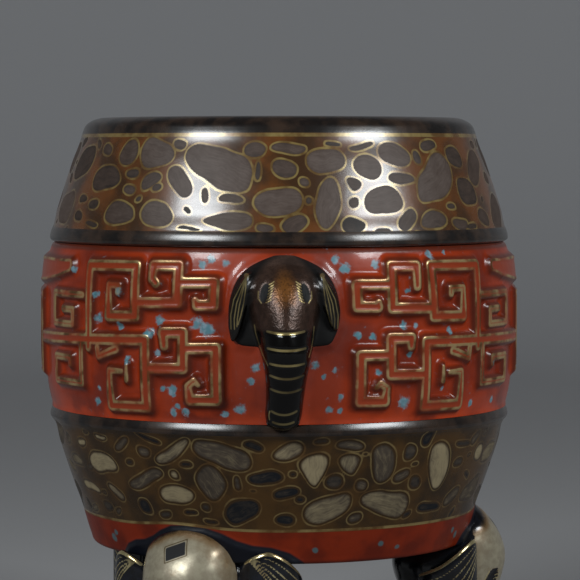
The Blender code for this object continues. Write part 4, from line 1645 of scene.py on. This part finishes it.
@dataclass(frozen=True)
class Handle:
    """An elephant's head with its ears and trunk, flat on the belly."""

    barrel: Barrel
    top_z: float = 139.8
    sink: float = 3.0
    sides: int = 56
    pad: float = 1.3
    head_power: float = 1.75
    trunk_power: float = 2.1
    voxel: float = 0.34
    rounds: int = 9
    ring_downs: Tuple[float, ...] = (21.3, 26.1, 30.5, 34.2, 38.2, 44.8, 47.8)
    ring_half_widths: Tuple[float, ...] = (5.4, 5.5, 5.0, 4.8, 4.4, 3.7, 3.1)
    ring_sags: Tuple[float, ...] = (0.5, 0.5, 0.5, 0.9, 0.9, 1.0, 0.6)
    eye: Point = (5.9, 10.2)
    eye_half: Point = (1.35, 3.1)
    eye_lean: float = 14.0
    ear_root: Point = (10.9, 5.5)
    ring_sink: float = 0.16
    eye_sink: float = 0.5
    wall_margin: float = 1.0
    tip_acrosses: Point = (10.5, 16.0)
    fall_downs: Point = (9.0, 19.0)

    def _eye_distance(self, flat: np.ndarray, half: Half) -> np.ndarray:
        """How far places of across and down are from an eye's middle, as shares of its leaning oval.

        Args:
            flat: The places.
            half: The eye's side.

        Returns:
            The shares, 1 on the oval.
        """
        x, y = flat[:, 0] * half.value - self.eye[0], flat[:, 1] - self.eye[1]
        lean = math.radians(self.eye_lean)
        wide = (x * math.cos(lean) - y * math.sin(lean)) / self.eye_half[0]
        tall = (y * math.cos(lean) + x * math.sin(lean)) / self.eye_half[1]
        return np.hypot(wide, tall)

    def _sway(self, down: np.ndarray) -> np.ndarray:
        """How far the trunk's middle stands to the right at a distance down."""
        return through_points(HANDLE_SECTIONS, np.clip(down, 0, 50))[:, 2]

    def _head(self) -> Tuple[np.ndarray, np.ndarray]:
        """The head and trunk as a closed shape.

        Returns:
            Points and triangles.
        """
        crown, tip = np.linspace(0, 1, 5) ** 2 * 3, (49.3, 49.7, 50.0)
        downs = np.concatenate((crown, np.linspace(3.6, 48.8, 66), tip))
        rings = []
        for down, (half_width, reach, sway) in zip(downs, through_points(HANDLE_SECTIONS, downs)):
            wall = float(self.barrel.belly_radius(np.array(self.top_z - down)))
            back = float(np.interp(down, (24.0, 31.0), (-reach, -self.sink)))
            power = float(np.interp(down, (20.0, 27.0), (self.head_power, self.trunk_power)))
            ring = squared_ellipse(self.sides, half_width, reach, back, power)
            out = wall + np.maximum(ring[:, 1], -self.sink)
            rings.append(np.column_stack((ring[:, 0] + sway, -out, np.full(self.sides, self.top_z - down))))
        return lofted(rings)

    def _on_wall(self, outline: np.ndarray, reach: np.ndarray) -> np.ndarray:
        """Places an outline of across and down at a reach from the wall.

        Args:
            outline: Across and down, one row each.
            reach: Its distance from the wall.

        Returns:
            The points.
        """
        z = self.top_z - outline[:, 1]
        wall = np.sqrt(self.barrel.belly_radius(z) ** 2 - outline[:, 0] ** 2)
        return np.column_stack((outline[:, 0], -(wall + reach), z))

    def _crowned(
        self, outline: Sequence[Point], half: Half, crown: Sequence[Point], tip: Sequence[float],
        fall: float = 0.0,
    ) -> Tuple[np.ndarray, np.ndarray]:
        """A crowned sheet on the wall.

        Args:
            outline: Its outline, for the right side.
            half: Its side.
            crown: Pairs of the outline's size and the reach there, from the wall up.
            tip: The reach added at the two tip_acrosses.
            fall: The share of the reach that is lost towards the lower end.

        Returns:
            Points and triangles.
        """
        known = np.array(list(outline) + [outline[0]], dtype=float)
        edge = smooth_curve(known, 0.7)[:-1]
        middle = edge.mean(axis=0)
        rings = []
        for size, reach in crown:
            ring = middle + (edge - middle) * size
            extra = np.interp(ring[:, 0], self.tip_acrosses, tip) if reach > 0 else 0.0
            stand = reach + extra + np.zeros(len(ring))
            lost = fall * smoothstep(ring[:, 1], *self.fall_downs) * np.maximum(stand - self.pad, 0)
            rings.append(self._on_wall(ring * (half.value, 1), stand - lost))
        return lofted(rings)

    def _mesh(self) -> bpy.types.Mesh:
        """The head, its ears' beds and their leaves, as one skin.

        Returns:
            The mesh.
        """
        shapes = [self._head()]
        bed_crown = [(1.0, -2.0), (1.0, 1.2), (0.95, 2.6), (0.85, 4.0), (0.7, 5.3), (0.5, 6.4), (0.25, 7.0)]
        leaf_crown = [(0.92, -1.0), (0.98, 0.6), (1.0, 1.4), (0.96, 2.1), (0.8, 2.5), (0.45, 2.7)]
        for half in Half:
            shapes.append(self._crowned(EAR_BED, half, bed_crown, (0.0, 0.0), 0.8))
            shapes.append(self._crowned(EAR_LEAVES[half], half, leaf_crown, (3.1, 0.2)))
        return fused("handle", shapes, self.voxel, self.rounds)

    def _rings(self) -> List[List[Point]]:
        """The gold rings across the trunk, as lines of across and down.

        Returns:
            The lines.
        """
        rings = []
        for down, half_width, sag in zip(self.ring_downs, self.ring_half_widths, self.ring_sags):
            sway = float(self._sway(np.array([down]))[0])
            turns = np.linspace(-1, 1, 13)
            rings.append([(sway + half_width * t, down - sag * (t * t - 0.4)) for t in turns])
        return rings

    def _fine_lines(self) -> List[List[Point]]:
        """The thin gold lines: down the trunk's sides, on the ears, and round the eyes.

        Returns:
            The lines, as across and down.
        """
        lines = [
            [(-8.7, 19.5), (-8.3, 22.0), (-7.4, 25.0), (-6.3, 28.0), (-5.0, 30.8)],
            [(8.4, 20.0), (8.2, 23.0), (7.6, 26.0), (6.8, 28.5)],
            [(-4.4, 44.2), (-4.6, 45.5), (-4.4, 46.8)],
        ]
        for half in Half:
            side = half.value
            root = (side * 11.0, 5.6)
            fan = [
                [(side * 12.6, 8.4), (side * 14.6, 12.4), (side * 15.5, 17.0), (side * 15.4, 21.0)],
                [(side * 12.2, 9.0), (side * 13.8, 13.5), (side * 14.5, 18.0), (side * 14.4, 21.0)],
                [(side * 11.8, 9.0), (side * 13.0, 14.0), (side * 13.6, 18.0), (side * 13.7, 20.2)],
                [(side * 11.2, 9.0), (side * 11.7, 13.0), (side * 12.6, 17.0), (side * 13.4, 19.6)],
            ]
            lines.extend([root] + line for line in fan)
            x, y = self.eye
            strokes = [((x + 0.9, y + 2.9), (x + 1.8, y + 1.6), (x + 1.7, y - 0.4))]
            for k in range(7):
                top = y - 3.2 + 0.85 * k
                start = x - 1.3 + 0.16 * k
                strokes.append(((start, top + 0.8), (start - 0.7, top + 0.5), (start - 1.5, top - 0.1)))
            lines.extend([(side * across, down) for across, down in stroke] for stroke in strokes)
        return lines

    def build(self, finish: bpy.types.Material) -> List[bpy.types.Object]:
        """Builds one head and places it at the front and at the back.

        Args:
            finish: Its glaze.

        Returns:
            The two pieces.
        """
        mesh = self._mesh()
        points = mesh_points(mesh)
        flat = np.column_stack((points[:, 0], self.top_z - points[:, 2]))
        across, down = np.abs(flat[:, 0]), flat[:, 1]
        wall = np.sqrt(np.maximum(self.barrel.belly_middle_radius**2 - across**2, 0))
        stand = -points[:, 1] - wall
        ring_gap = nearest_line(flat, self._rings())
        eye_gap = np.min([self._eye_distance(flat, half) for half in Half], axis=0)
        sunk = self.ring_sink * (1 - smoothstep(ring_gap, 0.2, 0.9))
        sunk += self.eye_sink * (1 - smoothstep(eye_gap, 0.35, 1.25))
        displace(mesh, -sunk * (stand > self.wall_margin))
        root_gap = np.hypot(across - self.ear_root[0], down - self.ear_root[1])
        temple = np.interp(down, (0.0, 3.0, 8.0), (3.0, 6.2, 8.8))
        leaf_gap = np.min([
            outside_distance(flat, [(half.value * x, y) for x, y in EAR_LEAVES[half]]) for half in Half
        ], axis=0)
        # Painted shade: the gold rings fade towards the trunk's sides and on its lower rings.
        ring_shade = 1 - 0.75 * smoothstep(across, 2.5, 5.5)
        ring_shade *= np.interp(down, (20, 29, 34, 38, 45), (1.0, 0.7, 0.42, 0.26, 0.26))
        store_values(mesh, {
            "bold_line": np.minimum(ring_gap, np.maximum(root_gap - 0.4, 0.0)),
            "fine_line": nearest_line(flat, self._fine_lines()),
            "painted_ring_shade": ring_shade,
            "leaf": 1 - smoothstep(leaf_gap, -0.3, 0.3),
            "brow": 1 - np.hypot(across / 4.2, (down - 9.0) / 6.5),
            "flank": 1 - smoothstep(stand, 1.0, 6.0),
            "face": (1 - smoothstep(across - temple, -1.6, 1.8)) * (1 - smoothstep(down, 20.0, 21.6)),
            "socket": 1 - smoothstep(eye_gap, 0.7, 1.15),
        })
        mesh.shade_smooth()
        return add_copies(mesh, finish, HANDLE_BEARINGS)


@dataclass(frozen=True)
class Foot:
    """An elephant's head whose trunk stands on the ground."""

    barrel: Barrel
    sides: int = 60
    power: float = 2.3
    lean: float = FOOT_LEAN
    curl_radius: float = 9.0
    ear_thickness: float = 2.4
    voxel: float = 0.58
    rounds: int = 7
    eye: Point = (10.4, 35.5)
    eye_half: Point = (1.9, 3.3)
    eye_sink: float = 0.8
    ring_heights: Tuple[float, ...] = (6.5, 10.5, 14.5, 18.5, 22.5)
    ring_sink: float = 0.3
    vein_shares: Tuple[float, ...] = (0.16, 0.32, 0.48, 0.64, 0.8)
    forehead_half_width: float = 15.6
    forehead_reach: float = 50.0
    cream_middle_z: float = 39.0
    cream_half: Point = (22.0, 27.0)
    brow_bend: float = 0.032
    brow_top: Point = (1.5, 58.5)
    badge: Point = (0.3, 52.3)
    badge_half: Point = (3.1, 1.9)
    badge_turn: float = 21.0

    def _shift(self, z: np.ndarray) -> np.ndarray:
        """How far the head leans to the right at these heights."""
        return self.lean * smoothstep(z, 12.0, 36.0)

    def _head(self) -> Tuple[np.ndarray, np.ndarray]:
        """The head and trunk as a closed shape.

        Returns:
            Points and triangles.
        """
        heights = np.concatenate((np.linspace(0, 56, 86), 58.9 - 2.6 * np.linspace(1, 0, 7) ** 2))
        edge = self.barrel.base_radius
        rings = []
        for z, (half_width, front, back) in zip(heights, through_points(FOOT_SECTIONS, heights)):
            ring = squared_ellipse(self.sides, half_width, edge + front, edge + back, self.power)
            aside = ring[:, 0] + self._shift(np.array(z))
            rings.append(np.column_stack((aside, -ring[:, 1], np.full(self.sides, z))))
        return lofted(rings)

    def _on_curl(self, half: Half, angle: float, radius: float, z: float) -> Tuple[float, float, float]:
        """A point of an ear.

        Args:
            half: The ear's side.
            angle: The angle round the curl.
            radius: The distance from the curl's middle.
            z: The height before the ear is raised.

        Returns:
            The point.
        """
        sine, cosine = math.sin(math.radians(angle)), math.cos(math.radians(angle))
        across, out, lift = FOOT_CURLS[half]
        return half.value * (across + radius * sine), -(out + radius * cosine), z + lift

    def _ear(self, half: Half) -> Tuple[np.ndarray, np.ndarray]:
        """An ear as a closed flap with a rounded edge.

        Args:
            half: The ear's side.

        Returns:
            Points and triangles.
        """
        angles = np.linspace(-60, 150, 68)
        rings = []
        thick = self.ear_thickness / 2
        turn = np.linspace(0, 2 * math.pi, 40, endpoint=False)
        for angle, (top, bottom) in zip(angles, through_points(FOOT_EAR_COLUMNS, angles)):
            ring = []
            for step in turn:
                sine, cosine = math.sin(step), math.cos(step)
                side = math.copysign(abs(cosine) ** 0.4, cosine)
                rise = math.copysign(abs(sine) ** 0.55, sine)
                z = (top + bottom) / 2 + (top - bottom) / 2 * rise
                ring.append(self._on_curl(half, angle, self.curl_radius + thick * side, z))
            rings.append(np.array(ring))
        return lofted(rings)

    def _ear_line(
        self, half: Half, share: float, start: float, end: float
    ) -> List[Tuple[float, float, float]]:
        """A line on an ear that follows its upper edge and fans out from the root.

        Args:
            half: The ear's side.
            share: How far down from the upper edge it ends, from 0 to 1.
            start: The angle round the curl where it starts.
            end: Where it ends.

        Returns:
            The line's points.
        """
        angles = np.linspace(start, end, 16)
        spread = np.sin(np.clip((angles - start) / (end - start), 0, 1) * math.pi / 2)
        levels = through_points(FOOT_EAR_COLUMNS, angles)
        heights = levels[:, 0] - 0.5 - share * spread * (levels[:, 0] - levels[:, 1])
        outer = self.curl_radius + self.ear_thickness / 2
        return [self._on_curl(half, a, outer, z) for a, z in zip(angles, heights)]

    def _rings(self) -> List[List[Point]]:
        """The gold rings across the trunk, as lines of across and height."""
        turns = np.linspace(-1.6, 0.4, 9)
        return [[(4.0 + 6.5 * t, z + t * t) for t in turns] for z in self.ring_heights]

    def _eye_lines(self) -> List[List[Point]]:
        """The gold lines behind the eyes and the lashes before them, as lines of across and height.

        Returns:
            The lines.
        """
        lines = []
        for half in Half:
            side, (x, z) = half.value, self.eye
            lines.append([(side * (x + 1.7), z + 2.8), (side * (x + 2.2), z), (side * (x + 1.5), z - 2.8)])
            for k in range(5):
                lines.append([(side * (x - 1.2), z + 2.2 - 1.2 * k), (side * (x - 3.0), z + 3.1 - 1.2 * k)])
        return lines

    def _cream(self, points: np.ndarray, flat: np.ndarray) -> np.ndarray:
        """How deep places lie in the cream brow.

        Args:
            points: The places.
            flat: Their distances across from the leaning head's middle, and their heights.

        Returns:
            The depth as a share of the brow, below 0 off it.
        """
        off_curl = np.min([
            np.hypot(points[:, 0] * half.value - FOOT_CURLS[half][0], -points[:, 1] - FOOT_CURLS[half][1])
            for half in Half
        ], axis=0)
        forehead = (np.abs(flat[:, 0]) < self.forehead_half_width) & (-points[:, 1] > self.forehead_reach)
        forehead &= off_curl > self.curl_radius + 2.0
        top = self.brow_top[1] - self.brow_bend * (flat[:, 0] - self.brow_top[0]) ** 2
        off_middle = (flat - (0.0, self.cream_middle_z)) / self.cream_half
        oval = 1 - np.hypot(off_middle[:, 0], off_middle[:, 1])
        return np.where(forehead, np.minimum(oval, (top - flat[:, 1]) * 0.12), -1.0)

    def _badge_distance(self, flat: np.ndarray) -> np.ndarray:
        """How far places of across and height are outside the plain lozenge on the brow.

        Args:
            flat: The places.

        Returns:
            The distances, below 0 inside it.
        """
        turn = math.radians(self.badge_turn)
        x, z = flat[:, 0] - self.badge[0], flat[:, 1] - self.badge[1]
        along = np.abs(x * math.cos(turn) + z * math.sin(turn)) - self.badge_half[0]
        across = np.abs(z * math.cos(turn) - x * math.sin(turn)) - self.badge_half[1]
        return np.maximum(along, across)

    def build(self, finish: bpy.types.Material) -> List[bpy.types.Object]:
        """Builds one head and places it at the three feet.

        Args:
            finish: Its glaze.

        Returns:
            The three pieces.
        """
        mesh = fused("foot", [self._head()] + [self._ear(half) for half in Half], self.voxel, self.rounds)
        points = mesh_points(mesh)
        flat = np.column_stack((points[:, 0] - self._shift(points[:, 2]), points[:, 2]))
        front = -points[:, 1] > self.barrel.base_radius - 4
        aside, above = np.abs(flat[:, 0]) - self.eye[0], flat[:, 1] - self.eye[1]
        eye_gap = np.where(front, np.hypot(aside / self.eye_half[0], above / self.eye_half[1]), FAR)
        ring_gap = np.where(front, nearest_line(flat, self._rings()), FAR)
        sunk = self.ring_sink * (1 - smoothstep(ring_gap, 0.2, 1.0))
        sunk += self.eye_sink * (1 - smoothstep(eye_gap, 0.35, 1.25))
        displace(mesh, -sunk)
        rims = [self._ear_line(half, 0.0, -18, 150) for half in Half]
        veins = [self._ear_line(half, share, -12, 140) for half in Half for share in self.vein_shares]
        vein_gap = nearest_line(points, veins)
        eye_line_gap = np.where(front, nearest_line(flat, self._eye_lines()), FAR)
        store_values(mesh, {
            "bold_line": nearest_line(points, rims),
            "fine_line": np.minimum(np.minimum(vein_gap, ring_gap), eye_line_gap),
            "cream": self._cream(points, flat) * (1 - 2 * (eye_gap < 1.1)),
            "badge": np.where(front, self._badge_distance(flat), FAR),
        })
        mesh.shade_smooth()
        return add_copies(mesh, finish, FOOT_BEARINGS)


@dataclass(frozen=True)
class Studio:
    """The floor, the lights and the camera."""

    floor_radius: float = 1.2
    floor_columns: int = 96
    wall_radius: float = 2.4
    wall_height: float = 2.2
    camera_distance: float = 0.850
    camera_height: float = 0.169
    camera_pitch: float = 0.0501
    object_turn: float = 1.2
    aside_pixels: float = 11.0
    focal_pixels: float = 2694.9
    frame_pixels: float = 580.0
    sensor: float = 36.0
    light_bearings: Point = (-42.5, 53.0)
    light_distance: float = 1.3
    light_elevation: float = 28.3
    light_size: Point = (0.52, 0.25)
    light_power: Point = (8.3, 8.5)
    light_target: Tuple[float, float, float] = (0.0, 0.0, 0.12)
    light_colour: Colour = (0.93, 0.975, 1.0)
    world: Colour = (0.035, 0.035, 0.038)

    def build(self) -> None:
        """Builds the floor with its round backdrop, lights it, and places the camera."""
        self._floor()
        self._lights()
        self._camera()

    def _floor(self) -> None:
        """A round paper floor whose edge curves up into a wall."""
        bend = self.wall_radius - self.floor_radius
        profile = [(0.001, 0.0)] + [(self.floor_radius * share, 0.0) for share in (0.25, 0.5, 0.75)]
        for turn in np.linspace(0, math.pi / 2, 17):
            profile.append((self.floor_radius + bend * math.sin(turn), bend * (1 - math.cos(turn))))
        profile.append((self.wall_radius, self.wall_height))
        points = turned(np.array(profile) / MM, self.floor_columns)[0]
        mesh = make_mesh("floor", points, sheet_faces(len(profile), self.floor_columns)[:, ::-1])
        mesh.materials.append(StageFinish().material())
        floor = bpy.data.objects.new("floor", mesh)
        bpy.context.scene.collection.objects.link(floor)

    def _lights(self) -> None:
        """Two softboxes and a dim room."""
        names = ("softbox_left", "softbox_right")
        for name, turn, power in zip(names, self.light_bearings, self.light_power):
            lamp = bpy.data.lights.new(name, "AREA")
            lamp.shape = "RECTANGLE"
            lamp.size, lamp.size_y = self.light_size
            lamp.energy = power
            lamp.color = self.light_colour
            light = bpy.data.objects.new(name, lamp)
            bpy.context.scene.collection.objects.link(light)
            bearing = math.radians(turn - self.object_turn)
            level = math.radians(self.light_elevation)
            across = self.light_distance * math.cos(level)
            above = self.light_distance * math.sin(level)
            target = Vector(self.light_target)
            off = Vector((across * math.sin(bearing), -across * math.cos(bearing), above))
            light.location = target + off
            light.rotation_euler = (target - light.location).to_track_quat("-Z", "Y").to_euler()
        world = bpy.data.worlds.new("room")
        world.use_nodes = True
        world.node_tree.nodes["Background"].inputs["Color"].default_value = (*self.world, 1.0)
        bpy.context.scene.world = world

    def _camera(self) -> None:
        """The camera at the photograph's viewing angle."""
        lens = bpy.data.cameras.new("camera")
        lens.sensor_fit = "HORIZONTAL"
        lens.sensor_width = self.sensor
        lens.lens = self.focal_pixels * self.sensor / self.frame_pixels
        lens.clip_start = 0.05
        camera = bpy.data.objects.new("camera", lens)
        bpy.context.scene.collection.objects.link(camera)
        turn = math.radians(-self.object_turn)
        camera.location = (
            self.camera_distance * math.sin(turn), -self.camera_distance * math.cos(turn), self.camera_height,
        )
        aside = math.atan(self.aside_pixels / self.focal_pixels)
        camera.rotation_euler = (math.pi / 2 - self.camera_pitch, 0, turn - aside)
        scene = bpy.context.scene
        scene.camera = camera
        scene.view_settings.view_transform = "Standard"
        scene.view_settings.look = "None"


UPPER_GLAZE = PebbleGlaze(
    name="upper_pebble_glaze", ground=(0.150, 0.050, 0.010), ground_dark=(0.055, 0.024, 0.008),
    stone_dark=(0.020, 0.014, 0.011), stone=(0.068, 0.044, 0.033), stone_light=(0.130, 0.096, 0.080),
    line_depth=0.05, line_half_width=0.28, line_strength=1.0, core_depth=0.42, core_softness=0.15, coat=0.72,
    edge_half_width=0.55,
    gold=Gold(colour=(0.34, 0.245, 0.085), worn=(0.17, 0.095, 0.030), metallic=0.3),
)

LOWER_GLAZE = PebbleGlaze(
    name="lower_pebble_glaze", ground=(0.076, 0.036, 0.008), ground_dark=(0.034, 0.018, 0.006),
    stone_dark=(0.009, 0.010, 0.013), stone=(0.080, 0.060, 0.042), stone_light=(0.33, 0.265, 0.155),
    line_depth=0.05, line_half_width=0.20, line_strength=0.47, core_depth=0.95, core_softness=0.35, coat=0.2,
    ior=1.36,
)


def main() -> None:
    """Builds the censer piece by piece, and the studio round it."""
    logging.basicConfig(level=logging.INFO, format="%(name)s %(message)s")
    barrel = Barrel()
    handle = Handle(barrel)
    upper_pebbles = PebbleBand(UPPER_PEBBLES, radius=67.0, height=28.7, seed=7)
    lower_pebbles = PebbleBand(LOWER_PEBBLES, radius=66.0, height=28.7, seed=11)
    Belly(barrel, handle).build(CoralGlaze().material())
    UpperBody(barrel, upper_pebbles).build(UPPER_GLAZE.material())
    LowerBody(barrel, lower_pebbles).build(LOWER_GLAZE.material())
    handle.build(HandleGlaze().material())
    Foot(barrel).build(FootGlaze().material())
    Studio().build()


if __name__ == "__main__":
    main()
